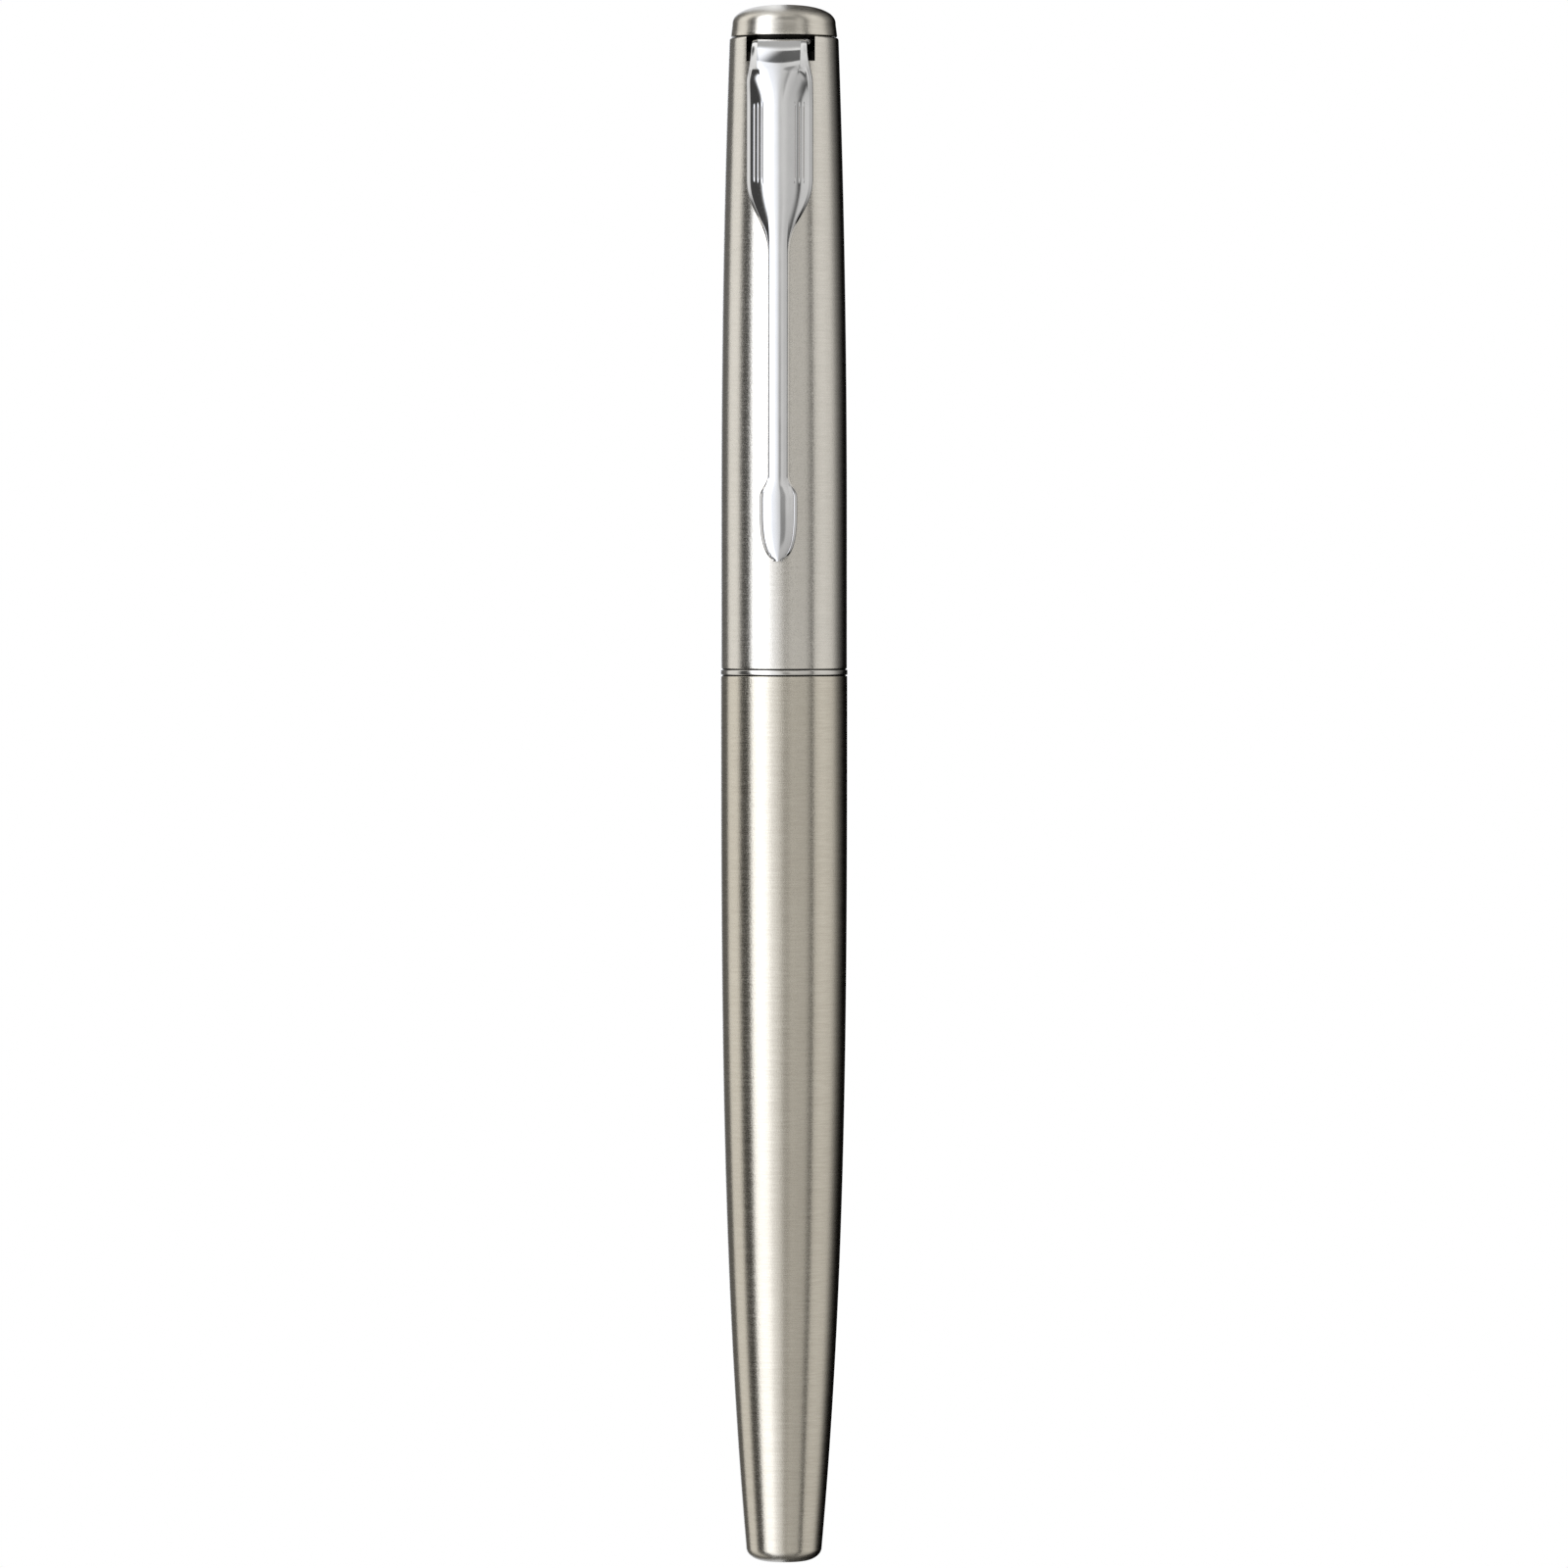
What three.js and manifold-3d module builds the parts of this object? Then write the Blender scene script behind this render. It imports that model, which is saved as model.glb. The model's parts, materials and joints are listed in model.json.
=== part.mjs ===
// A capped rollerball pen, standing on its barrel end. Millimetres, +Z up, clip towards -Y.
import * as THREE from 'three';
import { mergeVertices } from 'three/addons/utils/BufferGeometryUtils.js';
import Module from 'manifold-3d';

const wasm = await Module();
wasm.setup();

// ---- Driving dimensions -------------------------------------------------------------------

const penLength = 134;
const capLength = 54.2; // cap mouth to cap rim
const barrelRadius = 5.44;

const seam = 0.1; // open joint line between two outer pieces
const slip = 0.05; // pieces pressed, glued or stacked together
const running = 0.1; // pieces that slide or turn on each other

const shellSides = 32;
const innerSides = 24;
const smallSides = 16;

const barrel = {
  wall: 0.45,
  endRadius: 3.25, // where the rounded end starts
  endHeight: 1.14,
  flatRadius: 1.5,
  floor: 1.1,
  taperPower: 3.05,
  lip: 0.12,
};

const ring = { height: 0.45, proud: 0.02, edge: 0.08 };

const thread = {
  pitch: 1,
  depth: 0.38,
  rootWidth: 0.62,
  crestWidth: 0.22,
  bury: 0.15, // how far a ridge reaches into its core
  maleLength: 2.5,
  femaleLength: 3.5,
};

const bush = { wall: 0.5, length: 8.7, landDepth: 2.8, threadDepth: 6.7 };

const section = {
  wall: 0.69, // under the thread
  tail: 9.4, // from the barrel's rim down to the section's end
  landDepth: 2.7,
  landStep: 0.38, // land above the thread crest is the register in the bush
  flangeHeight: 0.8,
  mouthGap: 0.12, // flange to the cap's bore
  neckLength: 3.4, // flange to the grip
  gripGap: 0.39, // grip to the cap's liner
  waist: 0.48,
  waistBack: 6, // waist below the nose cone
  lip: 0.35,
  lipLength: 0.8,
  spigotLength: 3.9,
  grooves: 3,
  grooveDepth: 0.12,
  groovePitch: 1.5,
  grooveStart: 4.2, // first groove above the neck
};

const snapRing = { above: 2.5, width: 0.8, height: 0.26, seat: 0.2, clear: 0.04 };

const nose = {
  length: 9.6,
  wall: 0.65,
  step: 0.1,
  tipRadius: 1.75,
  tipLip: 0.35,
  swell: 0.18, // the flank bulges between base and tip
  boreStep: 1, // the bore narrows to the point's over this length
};

const cap = {
  step: 0.03, // cap is this much slimmer than the barrel
  wall: 0.42,
  topRadius: 4.69,
  taperLength: 41.2,
  taperPower: 2.08,
  rimRound: 0.2,
  rimDrop: 0.7,
  mouthRound: 0.08,
  bay: 1.3, // rim down to the ledge that carries the clip
  ledge: 0.75,
  ledgeBore: 2.4,
  notchDepth: 2.15,
};

const liner = {
  wall: 0.35,
  mouthBack: 1.25, // above the cap's mouth
  beadDepth: 0.09,
  beadAbove: 1.1,
  beadWidth: 0.9,
  bossHeight: 8.9, // ceiling to the cap's ledge
  crown: 1.4,
  bossRadius: 2.6,
  flange: 1.2,
  slotWidth: 0.8,
  slotLength: 8,
};

const finial = {
  height: 2.75,
  step: 0.105, // slimmer than the cap's rim
  skirtTaper: 0.135,
  domeHeight: 1.7,
  domePower: 2.4,
  spigot: 0.2, // reach into the cap
  spigotGap: 0.2,
};

const stud = { radius: 1.3, length: 8.6, topBack: 1 };

const clip = {
  topGap: 0.35, // under the finial's skirt
  bend: 1.8,
  standoffTop: 1.4,
  standoffFoot: 1.35,
  sheet: 0.45,
  tabHalf: 2.36,
  bendHalf: 2.66, // at the end of the bend
  plateHalf: 2.86,
  shankHalf: 0.95,
  plateLength: 12, // rim down to the shoulders
  shoulder: 7,
  padTop: 38.6, // rim down to the pad
  padHalf: 1.62,
  padBlend: 1.1, // half the length over which shank and pad run together
  padFlat: 1.7, // length of the pad before its end rounds off
  padLift: 0.42,
  padSink: 0.25, // how far the pad's face falls back at its end
  toeStart: 0.3, // share of the rounded end where its underside starts to lift
  endWidth: 0.2, // width left at the very end, as a share
  length: 45, // rim down to the clip's end
  flareStart: 1.2, // rim down to where the crown starts to narrow
  flareEnd: 6.4,
  wallShare: 0.45, // a side wall is never thicker than this much of the half width
  flat: 0.2, // thickness of the plate at its edges
  bevel: 0.12,
  tabRing: 0.3, // washer to the cap's bore
  tabBore: 0.55, // washer to the stud
  tabReach: 0.6, // tab into the washer
  notchGap: 0.09,
};

// Sections across the clip: half width and rise of the crown, depth at the wing's outer edge,
// then the folded side, its width and fall, and the edge under it.
const clipShapes = {
  tab: { crown: 1.86, rise: 0.04, drop: 0.07, fall: 0.12, side: 0.34, edge: 0.25 },
  bend: { crown: 1.86, rise: 0.21, drop: 0.77, fall: 0.5, side: 0.34, edge: 0.14 },
  plate: { crown: 1, rise: 0.21, drop: 1.24, fall: 0.5, side: 0.34, edge: 0.14 },
  shank: { crown: 0.74, rise: 0.17, drop: 0.22, fall: 0.45, side: 0.13, edge: 0.2 },
  pad: { crown: 0.97, rise: 0.12, drop: 0.2, fall: 0.2, side: 0.28, edge: 0 },
};

const refill = {
  gap: 0.21, // to the section's bore
  tailGap: 0.25, // to the barrel's bore
  wall: 0.37,
  tipClear: 1.25, // ball to the liner's ceiling
  reach: 26.35, // shoulder to ball
  shoulder: 2,
  noseRadius: 1.7,
  noseLength: 8.5,
  spigot: 2.9,
  plug: 2.7,
  plugSpigot: 2.2,
  vent: 0.5, // air hole through the plug
};

const point = {
  radius: 1.25,
  socketRadius: 0.6,
  ballRadius: 0.35,
  ballGap: 0.03,
  rim: 0.17, // ball stands out of its socket
  showing: 5.2, // nose cone's end to ball
  holderTaper: 3.7,
  holderBack: 2.65, // holder's end behind the ball
  socketLength: 4.1,
  channel: 0.2,
  seated: 3, // holder's length inside the plastic nose
  holderWall: 0.15, // at the holder's thin end
  coneBack: 0.6, // the socket narrows from this far inside the holder
  cupWall: 0.12, // round the ball
  rimWall: 0.05, // left at the turned-in rim
};

const reservoir = { wrap: 0.1, gap: 0.08, end: 0.3, wickRadius: 0.5, wickSunk: 1.4 };

const spring = { wire: 0.2, turns: 4.5, steps: 14, seatBase: 0.45, seatRim: 1.6, seatWall: 0.35 };

// ---- Levels and radii that follow ---------------------------------------------------------

const finialBottom = penLength - finial.height;
const capRim = finialBottom - seam;
const capMouth = capRim - capLength;
const ringTop = capMouth - seam;
const ringBottom = ringTop - ring.height;
const barrelTop = ringBottom - seam;

const ledgeTop = capRim - cap.bay;
const ledgeBottom = ledgeTop - cap.ledge;
const linerTop = ledgeBottom - seam;
const ceiling = linerTop - liner.bossHeight;
const linerMouth = capMouth + liner.mouthBack;

const ballTop = ceiling - refill.tipClear;
const ballCentre = ballTop - point.ballRadius;
const noseTop = ballTop - point.showing;
const noseBottom = noseTop - nose.length;
const gripTop = noseBottom - slip;
const spigotTop = gripTop + section.spigotLength;
const flangeBottom = ringTop + slip;
const flangeTop = flangeBottom + section.flangeHeight;
const neckTop = flangeTop + section.neckLength;
const sectionTail = barrelTop - section.tail;
const threadStart = barrelTop - bush.threadDepth; // female; the male ridge lies half a pitch on
const refillShoulder = ballTop - refill.reach;

const barrelBore = barrelRadius - barrel.wall;
const bushRadius = barrelBore - slip;
const femaleRoot = bushRadius - bush.wall;
const femaleCrest = femaleRoot - thread.depth;
const maleCrest = femaleRoot - running;
const maleRoot = maleCrest - thread.depth;
const landRadius = femaleRoot + section.landStep - 2 * running;
const landBore = landRadius + 0.6 * running;
const sectionBore = maleRoot - section.wall;
const refillRadius = sectionBore - refill.gap;
const refillBore = refillRadius - refill.wall;
const noseBore = refill.noseRadius + 2 * running;

const capRadius = barrelRadius - cap.step;
const capBore = capRadius - cap.wall;
const capTopBore = cap.topRadius - cap.wall;
const linerBore = capBore - slip - liner.wall;
const beadRadius = linerBore - liner.beadDepth;
const flangeRadius = capBore - section.mouthGap;
const gripRadius = linerBore - section.gripGap;
const lipRadius = gripRadius - section.lip;
const noseRadius = lipRadius - nose.step;
const spigotRadius = noseRadius - nose.wall;
const ringRadius = barrelRadius + ring.proud;

const seatRadius = barrel.endRadius - barrel.wall - running;
const seatBottom = barrel.floor + slip;
const springBottom = seatBottom + spring.seatBase + slip;
const coilRadius = seatRadius - spring.seatWall - running - spring.wire;
const studTop = penLength - stud.topBack;
const studBottom = studTop - stud.length;

// The barrel's outside: straight at the rim, closing in faster and faster towards the end.
function barrelRadiusAt(z) {
  const share = (barrelTop - z) / (barrelTop - barrel.endHeight);
  return barrelRadius - (barrelRadius - barrel.endRadius) * share ** barrel.taperPower;
}

// The cap's outside: straight at the mouth, tapering to the rim.
function capRadiusAt(z) {
  const share = Math.max(0, (z - capRim + cap.taperLength) / cap.taperLength);
  return capRadius - (capRadius - cap.topRadius) * share ** cap.taperPower;
}

// The refill's tail is as low as the narrowing barrel and the spring allow.
function lowestTail() {
  const needed = refillRadius + refill.tailGap + barrel.wall;
  const drop = (barrelRadius - needed) / (barrelRadius - barrel.endRadius);
  const share = Math.max(0, drop) ** (1 / barrel.taperPower);
  const z = barrelTop - (barrelTop - barrel.endHeight) * share;
  const springRoom = spring.wire * 4 * spring.turns;
  return Math.max(z, springBottom + springRoom);
}

const refillTail = lowestTail();
const tubeBottom = refillTail + refill.plug + slip;
const tubeTop = refillShoulder - refill.shoulder - slip;

// ---- Geometry helpers -----------------------------------------------------------------------

function toSolid(geometry) {
  const bare = geometry.clone();
  bare.deleteAttribute('normal');
  bare.deleteAttribute('uv');
  const merged = mergeVertices(bare, 1e-5);
  const vertProperties = new Float32Array(merged.attributes.position.array);
  const triVerts = new Uint32Array(merged.index.array);
  return new wasm.Manifold(new wasm.Mesh({ numProp: 3, vertProperties, triVerts }));
}

function toGeometry(solid) {
  const { vertProperties, triVerts } = solid.getMesh();
  const geometry = new THREE.BufferGeometry();
  geometry.setAttribute('position', new THREE.BufferAttribute(vertProperties, 3));
  geometry.setIndex(new THREE.BufferAttribute(triVerts, 1));
  geometry.computeVertexNormals();
  return geometry;
}

// Turns a profile of [radius, height] points about Z. It runs up the outside and down the
// inside; a profile that leaves the axis open is closed on itself.
function lathe(profile, sides) {
  const points = profile.map(([r, z]) => new THREE.Vector2(r, z));
  if (points[0].x > 0) points.push(points[0].clone());
  const geometry = new THREE.LatheGeometry(points, sides);
  return geometry.rotateX(Math.PI / 2);
}

// Heights from a to b, both included, for sampling a curved outline.
function spread(a, b, count) {
  return Array.from({ length: count + 1 }, (_, i) => a + ((b - a) * i) / count);
}

function box(width, depth, height, x, y, z) {
  return new THREE.BoxGeometry(width, depth, height).translate(x, y, z);
}

// A right-handed helical ridge: a straight bar of trapezoid section, wrapped about Z.
function ridge(baseRadius, crestRadius, bottom, length) {
  const turns = length / thread.pitch;
  const crest = thread.crestWidth / 2;
  const flank = (thread.rootWidth - thread.crestWidth) / 2 / thread.depth;
  const root = crest + flank * (thread.depth + thread.bury);
  const buried = baseRadius - Math.sign(crestRadius - baseRadius) * thread.bury;
  const outline = [[-root, buried], [root, buried], [crest, crestRadius], [-crest, crestRadius]];
  const shape = new THREE.Shape(outline.map(([h, r]) => new THREE.Vector2(h, r)));
  const bar = new THREE.ExtrudeGeometry(shape, {
    depth: turns * 2 * Math.PI,
    steps: Math.round(turns * innerSides),
    bevelEnabled: false,
  });
  const at = bar.attributes.position;
  for (let i = 0; i < at.count; i += 1) {
    const angle = at.getZ(i);
    const radius = at.getY(i);
    const height = at.getX(i) + bottom + (thread.pitch * angle) / (2 * Math.PI);
    at.setXYZ(i, radius * Math.cos(angle), radius * Math.sin(angle), height);
  }
  return bar;
}

const finishes = {
  brushedSteel: { color: 0xb4afa5, roughness: 0.34, metalness: 1 },
  polishedSteel: { color: 0xd6d4d0, roughness: 0.12, metalness: 1 },
  brass: { color: 0xc8a45a, roughness: 0.35, metalness: 1 },
  springSteel: { color: 0x9a9a98, roughness: 0.3, metalness: 1 },
  blackResin: { color: 0x17181a, roughness: 0.38, metalness: 0 },
  greyResin: { color: 0x5c5e61, roughness: 0.5, metalness: 0 },
  whiteResin: { color: 0xd9d8d2, roughness: 0.5, metalness: 0 },
  fibre: { color: 0x1b2340, roughness: 0.95, metalness: 0 },
  film: { color: 0xe6e6e2, roughness: 0.3, metalness: 0 },
};

function piece(name, geometry, finish) {
  const mesh = new THREE.Mesh(geometry, new THREE.MeshStandardMaterial(finishes[finish]));
  mesh.name = name;
  return mesh;
}

// ---- Barrel -----------------------------------------------------------------------------------

function barrelShell() {
  const round = spread(0, Math.PI / 2, 5).map((angle) => [
    barrel.flatRadius + (barrel.endRadius - barrel.flatRadius) * Math.sin(angle),
    barrel.endHeight * (1 - Math.cos(angle)),
  ]);
  const rimBottom = barrelTop - barrel.lip;
  const outside = spread(barrel.endHeight, rimBottom, 10).map((z) => [barrelRadiusAt(z), z]);
  const boreBottom = barrel.floor + barrel.lip;
  const bore = spread(barrelTop, boreBottom, 7).map((z) => [
    barrelRadiusAt(Math.max(z, barrel.endHeight)) - barrel.wall, z]);
  const floorRadius = barrel.endRadius - barrel.wall - barrel.lip / 2;
  const profile = [
    [0, 0],
    ...round.slice(0, -1),
    ...outside,
    [barrelRadius - barrel.lip / 2, barrelTop],
    ...bore,
    [floorRadius, barrel.floor],
    [0, barrel.floor],
  ];
  return piece('barrel_shell', lathe(profile, shellSides), 'brushedSteel');
}

// Brass bush pressed into the barrel's mouth, with the female thread and a plain register.
function threadBush() {
  const top = barrelTop - seam;
  const bottom = barrelTop - bush.length;
  const landBottom = barrelTop - bush.landDepth;
  const sleeve = lathe([
    [femaleRoot, bottom],
    [bushRadius - barrel.lip, bottom],
    [bushRadius, bottom + barrel.lip],
    [bushRadius, top],
    [landBore, top],
    [landBore, landBottom],
    [femaleRoot, landBottom - (landBore - femaleRoot)],
  ], innerSides);
  const helix = ridge(femaleRoot, femaleCrest, threadStart, thread.femaleLength);
  return piece('thread_bush', toGeometry(toSolid(sleeve).add(toSolid(helix))), 'brass');
}

function springSeat() {
  const top = seatBottom + spring.seatRim;
  const base = seatBottom + spring.seatBase;
  const profile = [
    [0, seatBottom],
    [seatRadius - barrel.lip, seatBottom],
    [seatRadius, seatBottom + barrel.lip],
    [seatRadius, top],
    [seatRadius - spring.seatWall, top],
    [seatRadius - spring.seatWall, base],
    [0, base],
  ];
  return piece('spring_seat', lathe(profile, innerSides), 'whiteResin');
}

class CoilCurve extends THREE.Curve {
  constructor(radius, bottom, top, turns) {
    super();
    Object.assign(this, { radius, bottom, top, turns });
  }

  getPoint(share, target = new THREE.Vector3()) {
    const angle = share * this.turns * 2 * Math.PI;
    const z = this.bottom + (this.top - this.bottom) * share;
    return target.set(this.radius * Math.cos(angle), this.radius * Math.sin(angle), z);
  }
}

function refillSpring() {
  const inset = spring.wire + slip;
  const coil = new CoilCurve(coilRadius, springBottom + inset, refillTail - inset, spring.turns);
  const wire = spread(0, 2 * Math.PI, 6).slice(0, -1).map((angle) => new THREE.Vector2(
    spring.wire * Math.cos(angle), spring.wire * Math.sin(angle)));
  const geometry = new THREE.ExtrudeGeometry(new THREE.Shape(wire), {
    steps: Math.round(spring.turns * spring.steps),
    extrudePath: coil,
  });
  return piece('refill_spring', geometry, 'springSteel');
}

// ---- Centre ring ------------------------------------------------------------------------------

function trimRing() {
  const profile = [
    [landBore, ringBottom],
    [ringRadius - ring.edge, ringBottom],
    [ringRadius, ringBottom + ring.edge],
    [ringRadius, ringTop - ring.edge],
    [ringRadius - ring.edge, ringTop],
    [landBore, ringTop],
  ];
  return piece('trim_ring', lathe(profile, shellSides), 'polishedSteel');
}

// ---- Writing section --------------------------------------------------------------------------

// Shallow finger grooves, each a flat-bottomed ring in the grip's tapering outside.
function gripOutline(start, end) {
  const radiusAt = (z) => gripRadius - (section.waist * (z - start)) / (end - start);
  const outline = [[gripRadius, start]];
  for (let i = 0; i < section.grooves; i += 1) {
    const z = start + section.grooveStart + i * section.groovePitch;
    const half = section.grooveDepth * 2;
    outline.push(
      [radiusAt(z - half), z - half],
      [radiusAt(z) - section.grooveDepth, z - section.grooveDepth],
      [radiusAt(z) - section.grooveDepth, z + section.grooveDepth],
      [radiusAt(z + half), z + half],
    );
  }
  return [...outline, [radiusAt(end), end]];
}

function gripSection() {
  const landBottom = barrelTop - section.landDepth;
  const ringSeat = flangeTop + snapRing.above;
  const half = snapRing.width / 2 + slip;
  const neck = gripRadius - snapRing.seat;
  const chamfer = barrel.lip * 2;
  const core = lathe([
    [sectionBore, sectionTail],
    [maleRoot - chamfer, sectionTail],
    [maleRoot, sectionTail + chamfer],
    [maleRoot, landBottom - chamfer],
    [landRadius, landBottom + chamfer],
    [landRadius, flangeBottom],
    [flangeRadius, flangeBottom],
    [flangeRadius, flangeTop - barrel.lip],
    [flangeRadius - barrel.lip, flangeTop],
    [gripRadius, flangeTop],
    [gripRadius, ringSeat - half],
    [neck, ringSeat - half],
    [neck, ringSeat + half],
    ...gripOutline(Math.max(neckTop, ringSeat + half), gripTop - section.waistBack),
    [lipRadius, gripTop - section.lipLength],
    [lipRadius, gripTop],
    [spigotRadius, gripTop],
    [spigotRadius, spigotTop],
    [noseBore, spigotTop],
    [noseBore, refillShoulder + running],
    [sectionBore, refillShoulder + running],
  ], innerSides);
  const start = threadStart + thread.pitch / 2;
  const helix = ridge(maleRoot, maleCrest, start, thread.maleLength);
  return piece('grip_section', toGeometry(toSolid(core).add(toSolid(helix))), 'blackResin');
}

function capSnapRing() {
  const z = flangeTop + snapRing.above;
  const half = snapRing.width / 2;
  const outer = beadRadius - snapRing.clear;
  const inner = gripRadius - snapRing.seat + slip;
  const profile = [
    [inner, z - half],
    [outer - snapRing.height, z - half],
    [outer, z - half / 2],
    [outer, z + half / 2],
    [outer - snapRing.height, z + half],
    [inner, z + half],
  ];
  return piece('cap_snap_ring', lathe(profile, innerSides), 'polishedSteel');
}

function noseCone() {
  const flank = spread(0, 1, 5).map((share) => [
    noseRadius + (nose.tipRadius - noseRadius) * share + nose.swell * Math.sin(Math.PI * share),
    noseBottom + nose.tipLip + (nose.length - 2 * nose.tipLip) * share,
  ]);
  const socketTop = spigotTop + slip;
  const bore = point.radius + running;
  const profile = [
    [spigotRadius + slip, noseBottom],
    [noseRadius, noseBottom],
    ...flank,
    [nose.tipRadius - nose.tipLip / 2, noseTop],
    [bore, noseTop],
    [bore, socketTop + nose.boreStep],
    [noseBore, socketTop],
    [spigotRadius + slip, socketTop],
  ];
  return piece('nose_cone', lathe(profile, innerSides), 'polishedSteel');
}

// ---- Cap --------------------------------------------------------------------------------------

// The slot in the cap's rim that the clip's tab leaves through.
function rimNotch() {
  const half = clip.plateHalf + clip.notchGap;
  const inner = Math.sqrt(capTopBore ** 2 - half ** 2) - running;
  const depth = capRadius - inner + 1;
  return box(2 * half, depth, 2 * cap.notchDepth, 0, -inner - depth / 2, capRim);
}

function capShell() {
  const outside = spread(capMouth + cap.mouthRound, capRim - cap.rimDrop, 8)
    .map((z) => [capRadiusAt(z), z]);
  const bore = spread(ledgeBottom, capMouth, 5).map((z) => [capRadiusAt(z) - cap.wall, z]);
  const rimRadius = cap.topRadius - cap.rimRound;
  const profile = [
    [capRadius - cap.mouthRound, capMouth],
    ...outside,
    [cap.topRadius - cap.rimRound / 3, capRim - cap.rimDrop / 3],
    [rimRadius, capRim],
    [capTopBore, capRim],
    [capTopBore, ledgeTop],
    [cap.ledgeBore, ledgeTop],
    [cap.ledgeBore, ledgeBottom],
    ...bore,
  ];
  const solid = toSolid(lathe(profile, shellSides)).subtract(toSolid(rimNotch()));
  return piece('cap_shell', toGeometry(solid), 'brushedSteel');
}

// Moulded liner: spring fingers with a bead at the mouth, and a boss for the finial's stud.
function innerCap() {
  const outer = (z) => capRadiusAt(z) - cap.wall - slip;
  const crownTop = ceiling + liner.crown;
  const bead = linerMouth + liner.beadAbove;
  const half = liner.beadWidth / 2;
  const boreTop = Math.min(linerBore, outer(ceiling) - liner.wall);
  const profile = [
    [linerBore, linerMouth],
    ...spread(linerMouth, crownTop, 6).map((z) => [outer(z), z]),
    [liner.bossRadius, crownTop],
    [liner.bossRadius, linerTop - liner.flange],
    [outer(linerTop), linerTop - liner.flange],
    [outer(linerTop), linerTop],
    [stud.radius + slip, linerTop],
    [stud.radius + slip, studBottom - slip],
    [0, studBottom - slip],
    [0, ceiling],
    [boreTop, ceiling],
    ...spread(ceiling - 1, bead + 2 * half, 4).map((z) => [outer(z) - liner.wall, z]),
    [linerBore, bead + half],
    [beadRadius, bead + half / 3],
    [beadRadius, bead - half / 3],
    [linerBore, bead - half],
  ];
  let solid = toSolid(lathe(rolledToAxis(profile), innerSides));
  const middle = linerMouth + liner.slotLength / 2;
  for (const [width, depth] of [[liner.slotWidth, 3 * capRadius], [3 * capRadius, liner.slotWidth]]) {
    solid = solid.subtract(toSolid(box(width, depth, liner.slotLength + 2, 0, 0, middle - 1)));
  }
  return piece('inner_cap', toGeometry(solid), 'greyResin');
}

// The same closed profile, started at its last point on the axis.
function rolledToAxis(profile) {
  const start = profile.findIndex(([r], i) => r === 0 && profile[i - 1]?.[0] === 0);
  return [...profile.slice(start), ...profile.slice(0, start)];
}

function capFinial() {
  const radius = cap.topRadius - finial.step;
  const skirtRadius = radius - finial.skirtTaper;
  const domeBottom = penLength - finial.domeHeight;
  const power = 2 / finial.domePower;
  const dome = spread(0, Math.PI / 2, 7).map((angle) => [
    skirtRadius * Math.cos(angle) ** power,
    domeBottom + finial.domeHeight * Math.sin(angle) ** power,
  ]);
  const spigotBottom = capRim - finial.spigot;
  const spigot = capTopBore - finial.spigotGap;
  const hole = stud.radius + slip;
  const profile = [
    [0, studTop + slip],
    [hole, studTop + slip],
    [hole, spigotBottom],
    [spigot, spigotBottom],
    [spigot, finialBottom],
    [radius, finialBottom],
    ...dome.slice(0, -1),
    [0, penLength],
  ];
  return piece('cap_finial', lathe(profile, shellSides), 'brushedSteel');
}

function finialStud() {
  const chamfer = stud.radius / 5;
  const profile = [
    [0, studBottom],
    [stud.radius - chamfer, studBottom],
    [stud.radius, studBottom + chamfer],
    [stud.radius, studTop - chamfer],
    [stud.radius - chamfer, studTop],
    [0, studTop],
  ];
  return piece('finial_stud', lathe(profile, smallSides), 'brass');
}

// ---- Clip -------------------------------------------------------------------------------------

const ease = THREE.MathUtils.smootherstep;
const mix = THREE.MathUtils.lerp;

const clipTop = finialBottom - clip.topGap;
const bendLevel = clipTop - clip.bend;
const plateOut = capRadiusAt(bendLevel) + clip.standoffTop;
const padLevel = capRim - clip.padTop;
const clipEnd = capRim - clip.length;
const padPlane = capRadius + slip;

// Distance from the pen's axis to the clip's outer face: a straight blade, lifted at the end.
function clipOut(z) {
  const footOut = capRadiusAt(padLevel) + clip.standoffFoot;
  const share = (bendLevel - z) / (bendLevel - padLevel);
  return mix(plateOut, footOut, Math.min(1, share));
}

// A section part of the way from one to another.
function blend(from, to, share) {
  return Object.fromEntries(Object.keys(from).map((key) => [key, mix(from[key], to[key], share)]));
}

// Half of the clip's section at one station, as [across, depth] from the middle outwards and
// back: the crown, the sloping wing, the folded side, then the underside.
function clipSection({ half, crown, rise, drop, fall, side, edge, corner }) {
  const wingEdge = half - Math.min(side, half * 0.3);
  const bottom = drop + fall + edge;
  const edgeInside = half - Math.min(clip.flat, half * clip.wallShare);
  return [
    [crown / 2, rise / 4],
    [crown, rise],
    [wingEdge, drop],
    [half, drop + fall],
    [half, bottom],
    [edgeInside, bottom],
    [Math.min(crown, edgeInside) - clip.bevel / 6, Math.min(corner, bottom)],
  ];
}

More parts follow.
